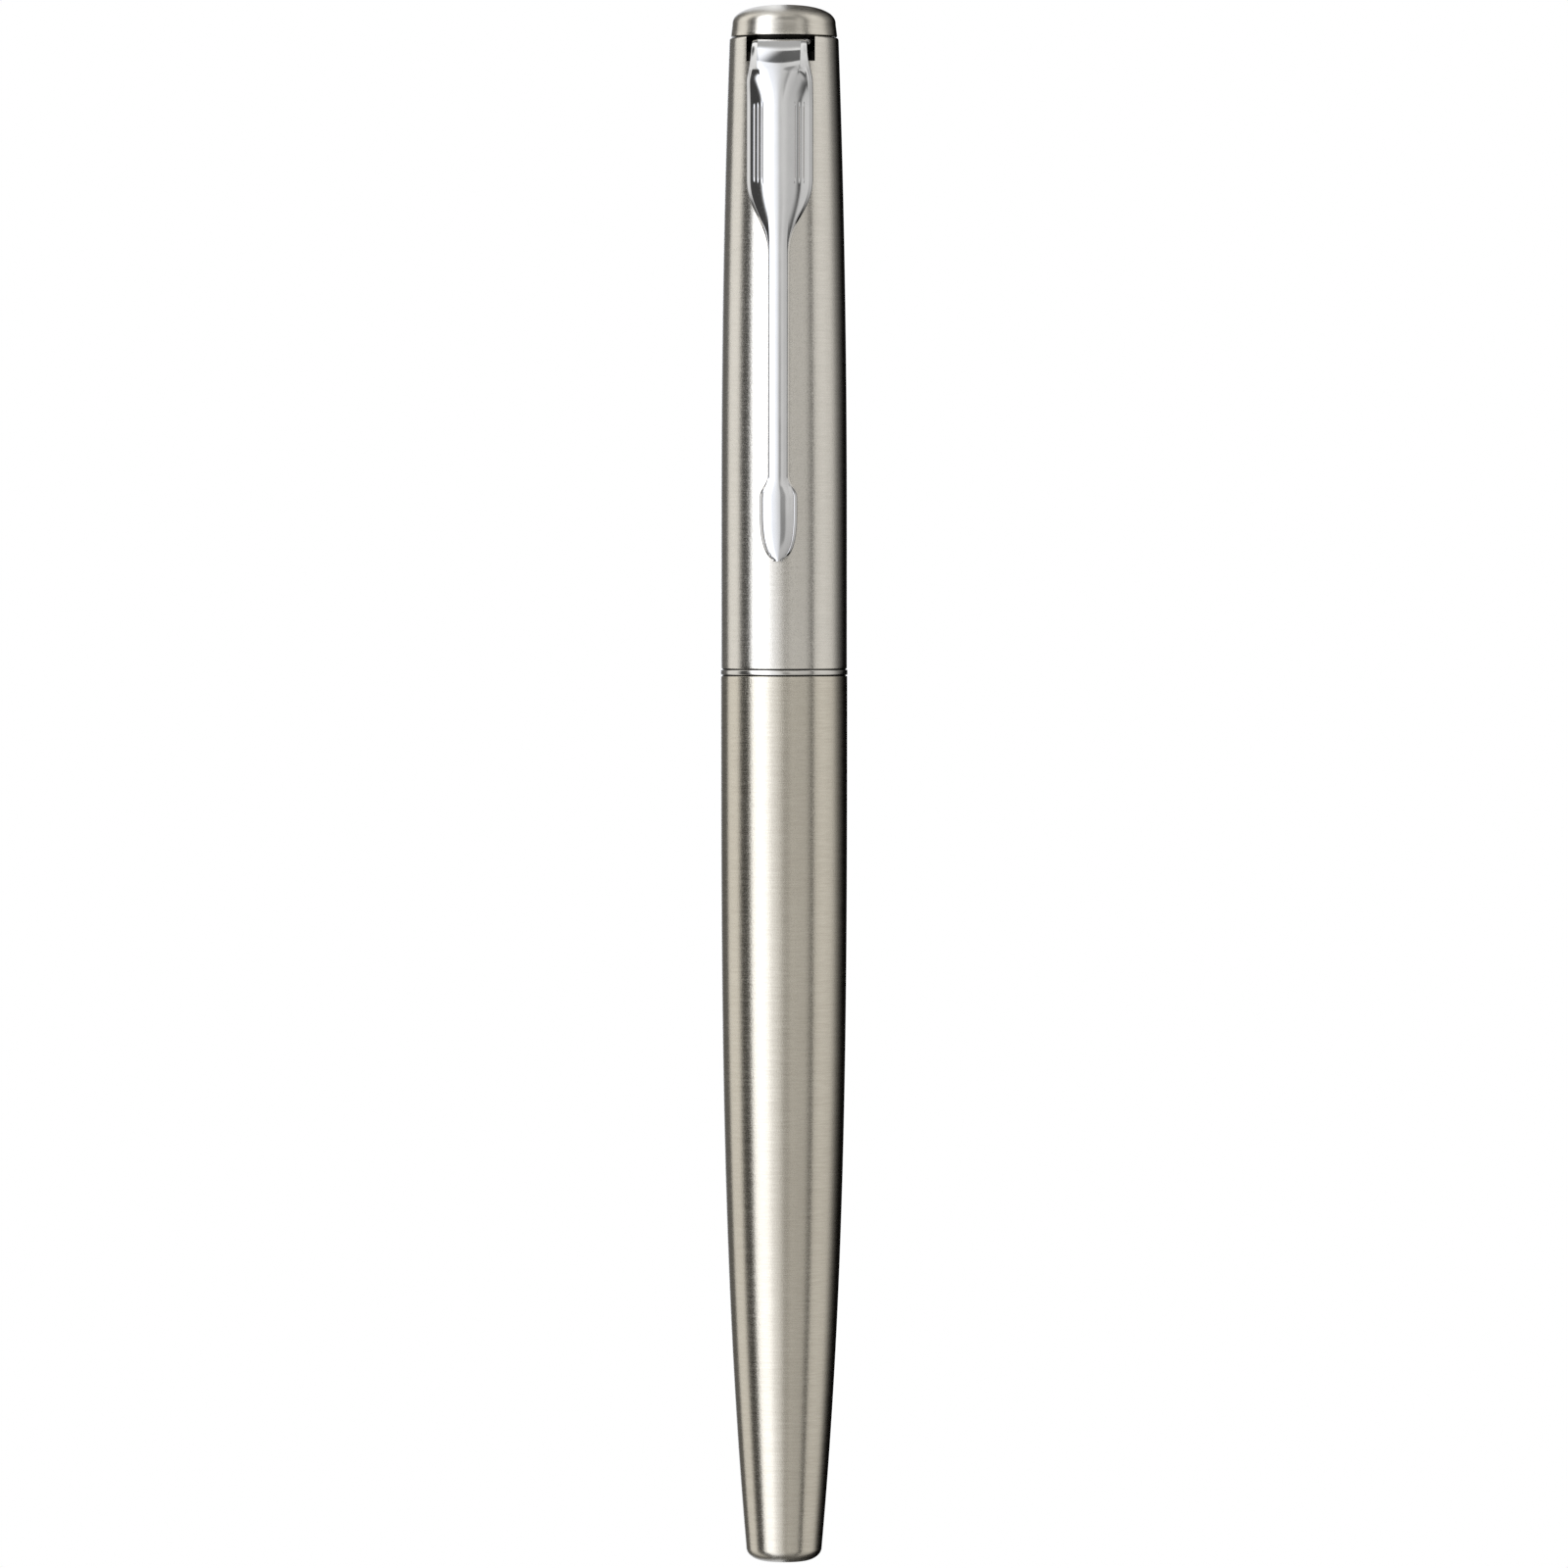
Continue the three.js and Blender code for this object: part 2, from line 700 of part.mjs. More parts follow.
// Stations of the blade below the bend: shape of the section at height z.
function bladeStation(z) {
  const below = capRim - z;
  const bendBelow = capRim - bendLevel;
  const flared = ease(below, clip.flareStart, clip.flareEnd);
  const narrow = ease(below, clip.plateLength, clip.plateLength + clip.shoulder);
  const widen = ease(below, clip.padTop - clip.padBlend, clip.padTop + clip.padBlend);
  const opened = ease(below, bendBelow, bendBelow + clip.flareStart);
  const roundTop = clip.padTop + clip.padFlat;
  const rounding = Math.max(0, (below - roundTop) / (clip.length - roundTop));
  const taper = Math.sqrt(Math.max(clip.endWidth ** 2, 1 - rounding ** 2));
  const toe = Math.max(0, (rounding - clip.toeStart) / (1 - clip.toeStart));
  const plateHalf = mix(clip.bendHalf, clip.plateHalf, opened);
  const half = mix(mix(plateHalf, clip.shankHalf, narrow), clip.padHalf, widen) * taper;
  const blade = blend(blend(clipShapes.bend, clipShapes.plate, flared), clipShapes.shank, narrow);
  const shape = blend(blade, clipShapes.pad, widen);
  const out = clipOut(z) - clip.padSink * rounding ** 2;
  const solidDepth = out - padPlane - clip.padLift * toe;
  const solidEdge = solidDepth - shape.drop - shape.fall;
  return {
    ...shape,
    half,
    crown: Math.min(shape.crown, half * mix(0.79, 0.62, widen)),
    edge: mix(shape.edge, solidEdge, widen),
    corner: mix(clip.sheet + 2 * clip.bevel, solidDepth, widen),
    under: mix(clip.sheet, solidDepth, widen),
    origin: [-out, z],
    inward: [1, 0],
  };
}

// Stations of the tab and its bend down over the cap's rim.
function bendStation(angle, reach) {
  const share = angle / (Math.PI / 2);
  const centre = -(plateOut - clip.bend);
  const origin = [centre - clip.bend * Math.sin(angle) + reach, bendLevel + clip.bend * Math.cos(angle)];
  return {
    ...blend(clipShapes.tab, clipShapes.bend, share ** 2),
    half: mix(clip.tabHalf, clip.bendHalf, share ** 3),
    corner: mix(clip.sheet, clip.sheet + 2 * clip.bevel, share),
    under: clip.sheet,
    origin,
    inward: [Math.sin(angle), -Math.cos(angle)],
  };
}

// Skins the stations into one closed body.
function loft(stations) {
  const rings = stations.map((station) => {
    const half = clipSection(station);
    const loop = [[0, 0], ...half, [0, station.under], ...half.map(([x, d]) => [-x, d]).reverse()];
    return { station, loop };
  });
  const size = rings[0].loop.length;
  const positions = rings.flatMap(({ station, loop }) => loop.flatMap(([x, depth]) => [
    x,
    station.origin[0] + station.inward[0] * depth,
    station.origin[1] + station.inward[1] * depth,
  ]));
  const faces = [];
  for (let i = 0; i < rings.length - 1; i += 1) {
    for (let j = 0; j < size; j += 1) {
      const a = i * size + j;
      const b = i * size + ((j + 1) % size);
      faces.push(a, a + size, b, b, a + size, b + size);
    }
  }
  for (const [ringIndex, flip] of [[0, true], [rings.length - 1, false]]) {
    const outline = rings[ringIndex].loop.map(([x, depth]) => new THREE.Vector2(x, -depth));
    for (const [a, b, c] of THREE.ShapeUtils.triangulateShape(outline, [])) {
      const offset = ringIndex * size;
      faces.push(a + offset, (flip ? c : b) + offset, (flip ? b : c) + offset);
    }
  }
  const geometry = new THREE.BufferGeometry();
  geometry.setAttribute('position', new THREE.Float32BufferAttribute(positions, 3));
  geometry.setIndex(faces);
  return geometry;
}

function clipBlade() {
  const reach = plateOut - clip.bend - stud.radius - clip.tabBore - clip.tabReach;
  const stations = [
    bendStation(0, reach),
    ...spread(0, Math.PI / 2, 6).map((angle) => bendStation(angle, 0)),
    ...spread(bendLevel - 0.4, capRim - clip.plateLength, 8).map(bladeStation),
    ...spread(capRim - clip.plateLength - 1, capRim - clip.plateLength - clip.shoulder, 6)
      .map(bladeStation),
    ...spread(padLevel + 6, padLevel + 1.9, 1).map(bladeStation),
    ...spread(padLevel + clip.padBlend, clipEnd, 14).map(bladeStation),
  ];
  const washerTop = clipTop;
  const washerRadius = capTopBore - clip.tabRing;
  const washer = lathe([
    [stud.radius + clip.tabBore, washerTop - clip.sheet],
    [washerRadius, washerTop - clip.sheet],
    [washerRadius, washerTop],
    [stud.radius + clip.tabBore, washerTop],
  ], innerSides);
  const solid = toSolid(loft(stations)).add(toSolid(washer));
  return piece('clip', toGeometry(solid), 'polishedSteel');
}

// ---- Refill -----------------------------------------------------------------------------------

function refillTube() {
  const profile = [
    [refillBore, tubeBottom],
    [refillRadius, tubeBottom],
    [refillRadius, tubeTop],
    [refillBore, tubeTop],
  ];
  return piece('refill_tube', lathe(profile, innerSides), 'whiteResin');
}

function refillEndPlug() {
  const vent = refill.vent;
  const spigotTopLevel = tubeBottom + refill.plugSpigot;
  const profile = [
    [vent, refillTail],
    [refillRadius - barrel.lip * 2, refillTail],
    [refillRadius, refillTail + barrel.lip * 2],
    [refillRadius, tubeBottom - slip],
    [refillBore - slip, tubeBottom - slip],
    [refillBore - slip, spigotTopLevel],
    [vent, spigotTopLevel],
  ];
  return piece('refill_end_plug', lathe(profile, innerSides), 'blackResin');
}

function refillNose() {
  const bottom = tubeTop - refill.spigot;
  const top = refillShoulder + refill.noseLength;
  const holderSeat = top - point.seated;
  const wickHole = reservoir.wickRadius + slip;
  const profile = [
    [wickHole, bottom],
    [refillBore - slip, bottom],
    [refillBore - slip, tubeTop + slip],
    [refillRadius, tubeTop + slip],
    [refillRadius, refillShoulder],
    [refill.noseRadius, refillShoulder],
    [refill.noseRadius, top - barrel.lip * 2],
    [refill.noseRadius - barrel.lip, top],
    [point.radius + slip, top],
    [point.radius + slip, holderSeat],
    [wickHole, holderSeat],
  ];
  return piece('refill_nose', lathe(profile, smallSides), 'blackResin');
}

const holderTop = ballTop - point.holderBack;
const socketBottom = ballTop - point.socketLength;
const holderBottom = refillShoulder + refill.noseLength - point.seated + slip;

function pointHolder() {
  const bore = point.socketRadius + slip;
  const profile = [
    [bore, holderBottom],
    [point.radius, holderBottom],
    [point.radius, holderTop - point.holderTaper],
    [bore + point.holderWall, holderTop],
    [bore, holderTop],
  ];
  return piece('point_holder', lathe(profile, smallSides), 'polishedSteel');
}

// The socket holds the ball by its turned-in rim; the ball runs in a cup with a thin ink gap.
function ballPoint() {
  const rimLevel = ballTop - point.rim;
  const cup = point.ballRadius + point.ballGap;
  const rimAngle = Math.asin((rimLevel - ballCentre) / cup);
  const cupArc = spread(rimAngle, -Math.PI / 3, 6).map((angle) => [
    cup * Math.cos(angle), ballCentre + cup * Math.sin(angle)]);
  const profile = [
    [point.channel, socketBottom],
    [point.socketRadius, socketBottom],
    [point.socketRadius, holderTop + point.coneBack],
    [cup + point.cupWall, ballCentre - point.cupWall],
    [cup * Math.cos(rimAngle) + point.rimWall, rimLevel],
    ...cupArc,
    [point.channel, ballCentre - cup],
  ];
  return piece('ball_point', lathe(profile, smallSides), 'brass');
}

function writingBall() {
  const arc = spread(-Math.PI / 2, Math.PI / 2, 8).map((angle) => [
    Math.abs(point.ballRadius * Math.cos(angle)), ballCentre + point.ballRadius * Math.sin(angle)]);
  const poles = arc.map(([r, z], i) => [i === 0 || i === arc.length - 1 ? 0 : r, z]);
  return piece('writing_ball', lathe(poles, smallSides), 'springSteel');
}

const reservoirBottom = tubeBottom + refill.plugSpigot + reservoir.end;
const reservoirTop = tubeTop - refill.spigot - reservoir.end;
const wrapRadius = refillBore - reservoir.gap;
const wickBottom = reservoirTop - reservoir.wickSunk;

function inkReservoir() {
  const radius = wrapRadius - reservoir.wrap - slip;
  const hole = reservoir.wickRadius + slip;
  const profile = [
    [0, reservoirBottom],
    [radius, reservoirBottom],
    [radius, reservoirTop],
    [hole, reservoirTop],
    [hole, wickBottom - slip],
    [0, wickBottom - slip],
  ];
  return piece('ink_reservoir', lathe(profile, innerSides), 'fibre');
}

function reservoirSleeve() {
  const inner = wrapRadius - reservoir.wrap;
  const profile = [
    [inner, reservoirBottom],
    [wrapRadius, reservoirBottom],
    [wrapRadius, reservoirTop],
    [inner, reservoirTop],
  ];
  return piece('reservoir_sleeve', lathe(profile, innerSides), 'film');
}

function feedWick() {
  const top = socketBottom - slip;
  const profile = [
    [0, wickBottom],
    [reservoir.wickRadius, wickBottom],
    [reservoir.wickRadius, top - reservoir.wickRadius],
    [reservoir.wickRadius / 2, top],
    [0, top],
  ];
  return piece('feed_wick', lathe(profile, smallSides), 'fibre');
}

// ---- Assembly ---------------------------------------------------------------------------------

const pen = new THREE.Group();
pen.add(
  barrelShell(), threadBush(), springSeat(), refillSpring(),
  trimRing(),
  gripSection(), capSnapRing(), noseCone(),
  capShell(), innerCap(), capFinial(), finialStud(), clipBlade(),
  refillTube(), refillEndPlug(), refillNose(), pointHolder(), ballPoint(), writingBall(),
  inkReservoir(), reservoirSleeve(), feedWick(),
);

export default pen;
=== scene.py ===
import json
import math

import bmesh
import bpy
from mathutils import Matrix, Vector


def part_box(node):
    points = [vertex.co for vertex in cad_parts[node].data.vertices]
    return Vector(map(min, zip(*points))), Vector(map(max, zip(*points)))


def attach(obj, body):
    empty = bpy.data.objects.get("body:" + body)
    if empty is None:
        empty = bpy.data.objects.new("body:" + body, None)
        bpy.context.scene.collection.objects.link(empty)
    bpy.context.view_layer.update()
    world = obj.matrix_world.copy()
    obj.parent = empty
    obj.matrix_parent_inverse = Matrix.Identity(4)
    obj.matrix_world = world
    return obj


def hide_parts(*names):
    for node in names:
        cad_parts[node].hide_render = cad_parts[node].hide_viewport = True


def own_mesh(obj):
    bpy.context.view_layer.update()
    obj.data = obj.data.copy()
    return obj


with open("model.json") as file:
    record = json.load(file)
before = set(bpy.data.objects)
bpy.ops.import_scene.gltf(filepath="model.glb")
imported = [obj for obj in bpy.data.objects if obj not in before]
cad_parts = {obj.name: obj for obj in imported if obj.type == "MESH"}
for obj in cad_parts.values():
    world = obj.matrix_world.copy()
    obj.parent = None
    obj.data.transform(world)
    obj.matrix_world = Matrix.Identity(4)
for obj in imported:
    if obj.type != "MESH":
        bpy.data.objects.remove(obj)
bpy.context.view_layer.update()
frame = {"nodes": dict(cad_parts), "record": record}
mm = 0.001
print("frame loaded:", len(frame["nodes"]), "nodes")

# Camera: just above the level of the cap's mouth, a little to the right of the clip
view = {"azimuth": 4.5, "eye": 84, "aim": 67, "distance": 850, "lens": 226.6}

cameraData = bpy.data.cameras.new("camera")
cameraData.sensor_width = 36
cameraData.lens = view["lens"]
cameraData.clip_start = 0.01
cameraData.clip_end = 20
turn = math.radians(view["azimuth"])
toCamera = Vector((math.sin(turn), -math.cos(turn), 0))
toRight = Vector((math.cos(turn), math.sin(turn), 0))


def aimed(name, data, outward, distance, level):  # a camera or lamp that faces the pen's middle
    made = bpy.data.objects.new(name, data)
    bpy.context.scene.collection.objects.link(made)
    made.location = outward * distance * mm + Vector((0, 0, level * mm))
    gaze = Vector((0, 0, view["aim"] * mm)) - made.location
    made.rotation_mode = "QUATERNION"
    made.rotation_quaternion = gaze.to_track_quat("-Z", "Y")
    return made


bpy.context.scene.camera = aimed("camera", cameraData, toCamera, view["distance"], view["eye"])
bpy.context.scene.view_settings.view_transform = "Standard"
print("camera placed")


# Shader nodes. A Link is one output of a node, and sums of links become Math nodes.
class Link:
    def __init__(self, socket):
        self.socket = socket

    def math(self, operation, first, second):
        return Bench(self.socket.id_data).node(
            "ShaderNodeMath", {"operation": operation}, {0: first, 1: second})

    def __add__(self, other):
        return self.math("ADD", self, other)

    def __radd__(self, other):
        return self.math("ADD", other, self)

    def __sub__(self, other):
        return self.math("SUBTRACT", self, other)

    def __rsub__(self, other):
        return self.math("SUBTRACT", other, self)

    def __mul__(self, other):
        return self.math("MULTIPLY", self, other)

    def __rmul__(self, other):
        return self.math("MULTIPLY", other, self)

    def __abs__(self):
        return self.math("ABSOLUTE", self, 0)


class Bench:
    def __init__(self, tree):
        self.tree = tree

    def node(self, kind, settings, sockets, output=0):
        made = self.tree.nodes.new(kind)
        for name, value in settings.items():
            setattr(made, name, value)
        for name, value in sockets.items():
            if isinstance(value, Link):
                self.tree.links.new(value.socket, made.inputs[name])
            else:
                made.inputs[name].default_value = value
        return Link(made.outputs[output]) if len(made.outputs) else None

    def place(self):  # position on the piece, in metres
        return self.node("ShaderNodeTexCoord", {}, {}, "Object")

    def stretched(self, place, scale):
        return self.node("ShaderNodeVectorMath", {"operation": "MULTIPLY"}, {0: place, 1: scale})

    def noise(self, place, scale, detail=2.0, roughness=0.5):  # scale: features per metre on X, Y, Z
        return self.node("ShaderNodeTexNoise", {}, {
            "Vector": self.stretched(place, scale), "Scale": 1.0, "Detail": detail,
            "Roughness": roughness})

    def step(self, value, low, high, atLow=0.0, atHigh=1.0):  # smooth change between two values
        return self.node("ShaderNodeMapRange", {"interpolation_type": "SMOOTHSTEP"}, {
            "Value": value, "From Min": low, "From Max": high, "To Min": atLow, "To Max": atHigh})

    def blend(self, share, first, second):
        return self.node("ShaderNodeMix", {"data_type": "RGBA"}, {0: share, 6: first, 7: second}, 2)

    def bump(self, height, distance):
        return self.node("ShaderNodeBump", {}, {
            "Height": height, "Strength": 1.0, "Distance": distance})

    def height(self, place):
        return self.node("ShaderNodeSeparateXYZ", {}, {0: place}, "Z")

    def radius(self, place):
        flat = self.stretched(place, (1, 1, 0))
        return self.node("ShaderNodeVectorMath", {"operation": "LENGTH"}, {0: flat}, "Value")


def grey(level):
    return (level, level, level, 1)


def colour(red, green, blue):
    return (red, green, blue, 1)


# near-black painted in as the shade in the joints and hollows of the steel
paintedShade = colour(0.012, 0.011, 0.01)


def emptyBench(owner):  # the cleared nodes of a material or the world
    owner.use_nodes = True
    owner.node_tree.nodes.clear()
    return Bench(owner.node_tree)


def finish(name, surface, **fixed):
    material = bpy.data.materials.new(name)
    bench = emptyBench(material)
    shader = bench.node("ShaderNodeBsdfPrincipled", {}, {**surface(bench), **fixed})
    bench.node("ShaderNodeOutputMaterial", {}, {"Surface": shader})
    return material


# Brushed stainless steel: fine lines round the axis, a light grain, rubbed edges
# Painted shade: each pair of joint levels gives the level that stays bright steel and the level past which
# the steel is painted near-black, as the shade in the joint; bore is the radius inside which the steel is
# painted near-black, as the shade inside the cap
def brushedSteel(name, pale, dark, roughness, sparkle, rubbed, shadedJoints=(), bore=0.0):
    def surface(bench):
        place = bench.place()
        lines = bench.noise(place, (190, 190, 5600), 3.0, 0.62)
        dashes = bench.noise(place, (640, 640, 9500), 2.0, 0.55)
        hairs = bench.noise(place, (420, 420, 15000), 2.0, 0.6)
        grain = bench.noise(place, (9000, 9000, 4300), 2.0, 0.6)
        speck = bench.step(grain, 0.5, 0.68)  # tiny matt spots, which catch the light in dark places
        cloud = bench.noise(place, (70, 70, 45), 2.0)
        marks = bench.noise(place, (1500, 1500, 520), 0.0)
        scratch = bench.step(abs(marks - 0.5), 0.0, 0.006, 1.0, 0.0) * bench.step(cloud, 0.52, 0.7)
        level = bench.height(place)
        worn = 0.0
        for edge in rubbed:
            worn = worn + bench.step(abs(level - edge * mm), 0.0, 0.45 * mm, 1.0, 0.0) * (0.5 + lines)
        tone = bench.step(lines * 0.3 + dashes * 0.7 + hairs * 0.15 + cloud * 0.35, 0.5, 1.0)
        base = bench.blend(tone, dark, pale)
        # painted shade: near-black over the steel past each joint level, where shade falls in the joint
        for shown, inShade in shadedJoints:
            base = bench.blend(bench.step(level, shown * mm, inShade * mm), base, paintedShade)
        # painted shade: near-black inside this radius, standing in for the shade inside the cap
        if bore:
            radial = bench.radius(place)
            base = bench.blend(bench.step(radial, (bore - 0.05) * mm, (bore + 0.05) * mm), paintedShade, base)
        return {
            "Base Color": base,
            "Roughness": roughness + speck * sparkle + (lines - 0.5) * 0.1 + (dashes - 0.5) * 0.12
                         - 0.06 * worn - 0.05 * scratch,
            "Normal": bench.bump(grain + hairs * 0.2 + lines * 0.5 - 0.3 * scratch, 5e-6),
        }
    return finish(name, surface, Metallic=1.0, Anisotropic=0.85, **{"Anisotropic Rotation": 0.25})


# Polished steel: near mirror, with polishing hairlines along or round the piece
def polishedSteel(name, tint, roughness, hairlines, engraved=None):
    def surface(bench):
        place = bench.place()
        hairs = bench.noise(place, hairlines, 2.0, 0.6)
        wave = bench.noise(place, (420, 420, 260), 1.0)
        smear = bench.noise(place, (900, 900, 700), 3.0, 0.6)
        fine = bench.step(abs(hairs - 0.5), 0.0, 0.02, 1.0, 0.0)
        deep = tuple(0.9 * part for part in tint[:3]) + (1,)
        base = bench.blend(smear, deep, tint)
        if engraved:  # lines cut in the mesh carry how deep they are, and are coloured dark brown where they are cut deep
            cut = bench.node("ShaderNodeAttribute", {"attribute_name": engraved}, {}, "Fac")
            base = bench.blend(bench.step(cut, 0.3, 0.8, 0.0, 0.88), base, colour(0.16, 0.12, 0.09))
        return {
            "Base Color": base,
            "Roughness": roughness + (smear - 0.5) * 0.07 + 0.05 * fine,
            "Normal": bench.bump(wave + fine * 0.012, 6e-6),
        }
    return finish(name, surface, Metallic=1.0)


# Turned brass: tool marks round the axis and a little tarnish
def turnedBrass(name):
    def surface(bench):
        place = bench.place()
        toolMarks = bench.noise(place, (260, 260, 9000), 2.0, 0.6)
        tarnish = bench.step(bench.noise(place, (500, 500, 400), 4.0, 0.6), 0.45, 0.75)
        return {
            "Base Color": bench.blend(tarnish, colour(0.78, 0.56, 0.25), colour(0.5, 0.33, 0.14)),
            "Roughness": 0.24 + 0.18 * tarnish + (toolMarks - 0.5) * 0.12,
            "Normal": bench.bump(toolMarks, 5e-6),
        }
    return finish(name, surface, Metallic=1.0, Anisotropic=0.5, **{"Anisotropic Rotation": 0.25})


# Drawn wire: dull streaks and an oily film
def drawnWire(name):
    def surface(bench):
        place = bench.place()
        streaks = bench.noise(place, (2500, 2500, 9000), 2.0, 0.6)
        film = bench.step(bench.noise(place, (700, 700, 700), 3.0), 0.4, 0.7)
        return {
            "Base Color": bench.blend(film, colour(0.5, 0.49, 0.47), colour(0.36, 0.33, 0.29)),
            "Roughness": 0.28 + 0.14 * film + (streaks - 0.5) * 0.1,
            "Normal": bench.bump(streaks, 3e-6),
        }
    return finish(name, surface, Metallic=1.0)


# Ground carbide: dark, very fine even grain
def groundCarbide(name):
    def surface(bench):
        place = bench.place()
        grain = bench.noise(place, (60000, 60000, 60000), 2.0)
        return {
            "Base Color": bench.blend(grain, colour(0.3, 0.3, 0.31), colour(0.42, 0.42, 0.43)),
            "Roughness": 0.2 + 0.15 * grain,
            "Normal": bench.bump(grain, 2e-7),
        }
    return finish(name, surface, Metallic=1.0)


# Moulded resin: a fine eggshell texture, flow clouds and a few rubbed places
def mouldedResin(name, dark, pale, roughness, texture):
    def surface(bench):
        place = bench.place()
        skin = bench.noise(place, (9000, 9000, 9000), 2.0, 0.5)
        flow = bench.noise(place, (260, 260, 90), 3.0)
        rubbed = bench.step(bench.noise(place, (900, 900, 300), 4.0, 0.65), 0.55, 0.75)
        return {
            "Base Color": bench.blend(bench.step(flow, 0.3, 0.7), dark, pale),
            "Roughness": roughness + (skin - 0.5) * 0.16 - 0.1 * rubbed,
            "Normal": bench.bump(skin * 0.7 + flow * 0.6, texture),
        }
    return finish(name, surface)


# Bonded fibre: strands along the rod, darker where the ink has soaked in
def soakedFibre(name, dry, wet):
    def surface(bench):
        place = bench.place()
        strands = bench.noise(place, (9000, 9000, 500), 3.0, 0.65)
        soak = bench.step(bench.noise(place, (300, 300, 120), 3.0), 0.35, 0.7)
        return {
            "Base Color": bench.blend(soak, dry, wet),
            "Roughness": 0.7 + 0.25 * strands - 0.2 * soak,
            "Normal": bench.bump(strands, 4e-5),
        }
    return finish(name, surface)


# Thin plastic film: glossy with lengthways wrinkles
def wrinkledFilm(name):
    def surface(bench):
        place = bench.place()
        wrinkles = bench.noise(place, (1800, 1800, 90), 3.0, 0.6)
        haze = bench.noise(place, (400, 400, 400), 3.0)
        return {
            "Base Color": bench.blend(haze, colour(0.78, 0.79, 0.8), colour(0.66, 0.68, 0.72)),
            "Roughness": 0.16 + 0.2 * haze,
            "Normal": bench.bump(wrinkles, 5e-5),
        }
    return finish(name, surface)


def span(node):  # lowest level, highest level and radius of a CAD node, in mm
    low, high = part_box(node)
    return low.z / mm, high.z / mm, high.x / mm


barrelBottom, barrelTop, barrelRadius = span("barrel_shell")
capMouth, capRim, capRadius = span("cap_shell")
finialBottom = span("cap_finial")[0]

# after the rubbed edges come the joints painted near-black as shade: the barrel's lip, the cap's lip and
# the finial's spigot; the cap is also painted near-black as shade inside radius 4.4
steel = {
    "barrel": brushedSteel("brushedBarrel", colour(0.84, 0.79, 0.685), colour(0.69, 0.64, 0.55), 0.26, 0.05,
                           [barrelTop], [(barrelTop - 0.01, barrelTop + 0.01)]),
    "cap": brushedSteel("brushedCap", colour(0.93, 0.895, 0.83), colour(0.8, 0.77, 0.71), 0.26, 0.07,
                        [capMouth, capRim], [(capMouth + 0.01, capMouth - 0.01)], 4.4),
    "finial": brushedSteel("brushedFinial", colour(0.9, 0.86, 0.78), colour(0.76, 0.725, 0.65), 0.3, 0.05,
                           [finialBottom + 0.35], [(finialBottom + 0.33, finialBottom + 0.28)]),
    "clip": polishedSteel("polishedClip", colour(0.88, 0.885, 0.9), 0.07, (5200, 5200, 60), "engraved"),
    "ring": polishedSteel("polishedRing", colour(0.86, 0.84, 0.8), 0.14, (60, 60, 9000)),
    "nose": polishedSteel("polishedNose", colour(0.84, 0.83, 0.81), 0.12, (160, 160, 7000)),
}
resin = {
    "black": mouldedResin("blackResin", colour(0.012, 0.012, 0.014), colour(0.022, 0.022, 0.025),
                          0.34, 5e-6),
    "grey": mouldedResin("greyResin", colour(0.1, 0.105, 0.11), colour(0.14, 0.145, 0.15), 0.5, 8e-6),
    "white": mouldedResin("whiteResin", colour(0.7, 0.7, 0.66), colour(0.8, 0.8, 0.77), 0.42, 6e-6),
}
brass = turnedBrass("turnedBrass")
print("finishes made:", len(bpy.data.materials))

record = frame["record"]
bodyOf = {node: body for body, nodes in record["behaviour"]["bodies"].items() for node in nodes}


# Puts a made piece on its body, in place of its CAD node
def fitPiece(piece, node, material):
    piece.data.materials.clear()
    piece.data.materials.append(material)
    piece.data.polygons.foreach_set("material_index", [0] * len(piece.data.polygons))
    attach(piece, bodyOf[node])
    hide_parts(node)
    return piece


def objectFrom(name, form, crease=32):
    bmesh.ops.recalc_face_normals(form, faces=form.faces)
    mesh = bpy.data.meshes.new(name)
    form.to_mesh(mesh)
    form.free()
    mesh.shade_smooth()
    mesh.set_sharp_from_angle(angle=math.radians(crease))
    made = bpy.data.objects.new(name, mesh)
    bpy.context.scene.collection.objects.link(made)
    return made


def rounded(start, corner, end, t):  # a point of the curve that rounds a corner off
    return start * (1 - t) ** 2 + corner * 2 * t * (1 - t) + end * t ** 2


# Rounds the corners of an outline: points are (radius, height) or (radius, height, rounding)
def softened(outline, steps=5):
    smooth = []
    count = len(outline)
    for i, corner in enumerate(outline):
        at = Vector(corner[:2])
        if len(corner) == 2:
            smooth.append(at)
            continue
        back = Vector(outline[i - 1][:2]) - at
        ahead = Vector(outline[(i + 1) % count][:2]) - at
        reach = min(corner[2], 0.48 * back.length, 0.48 * ahead.length)
        start, end = at + back.normalized() * reach, at + ahead.normalized() * reach
        smooth += [rounded(start, at, end, k / steps) for k in range(steps + 1)]
    return smooth


def levels(first, last, count):
    return [first + (last - first) * i / count for i in range(count + 1)]


# Outline of a plain ring or tube, with a rounding at its bore's edges and one at its outer edges
def ringOutline(bore, radius, low, high, boreEdge, outerEdge):
    return [(bore, low, boreEdge), (radius, low, outerEdge), (radius, high, outerEdge),
            (bore, high, boreEdge)]


def joinRings(form, rings):  # the sides between the rings of a swept piece, and its two ends
    for near, far in zip(rings, rings[1:]):
        for i in range(len(near)):
            k = (i + 1) % len(near)
            form.faces.new((near[i], near[k], far[k], far[i]))
    form.faces.new(rings[0])
    form.faces.new(rings[-1])


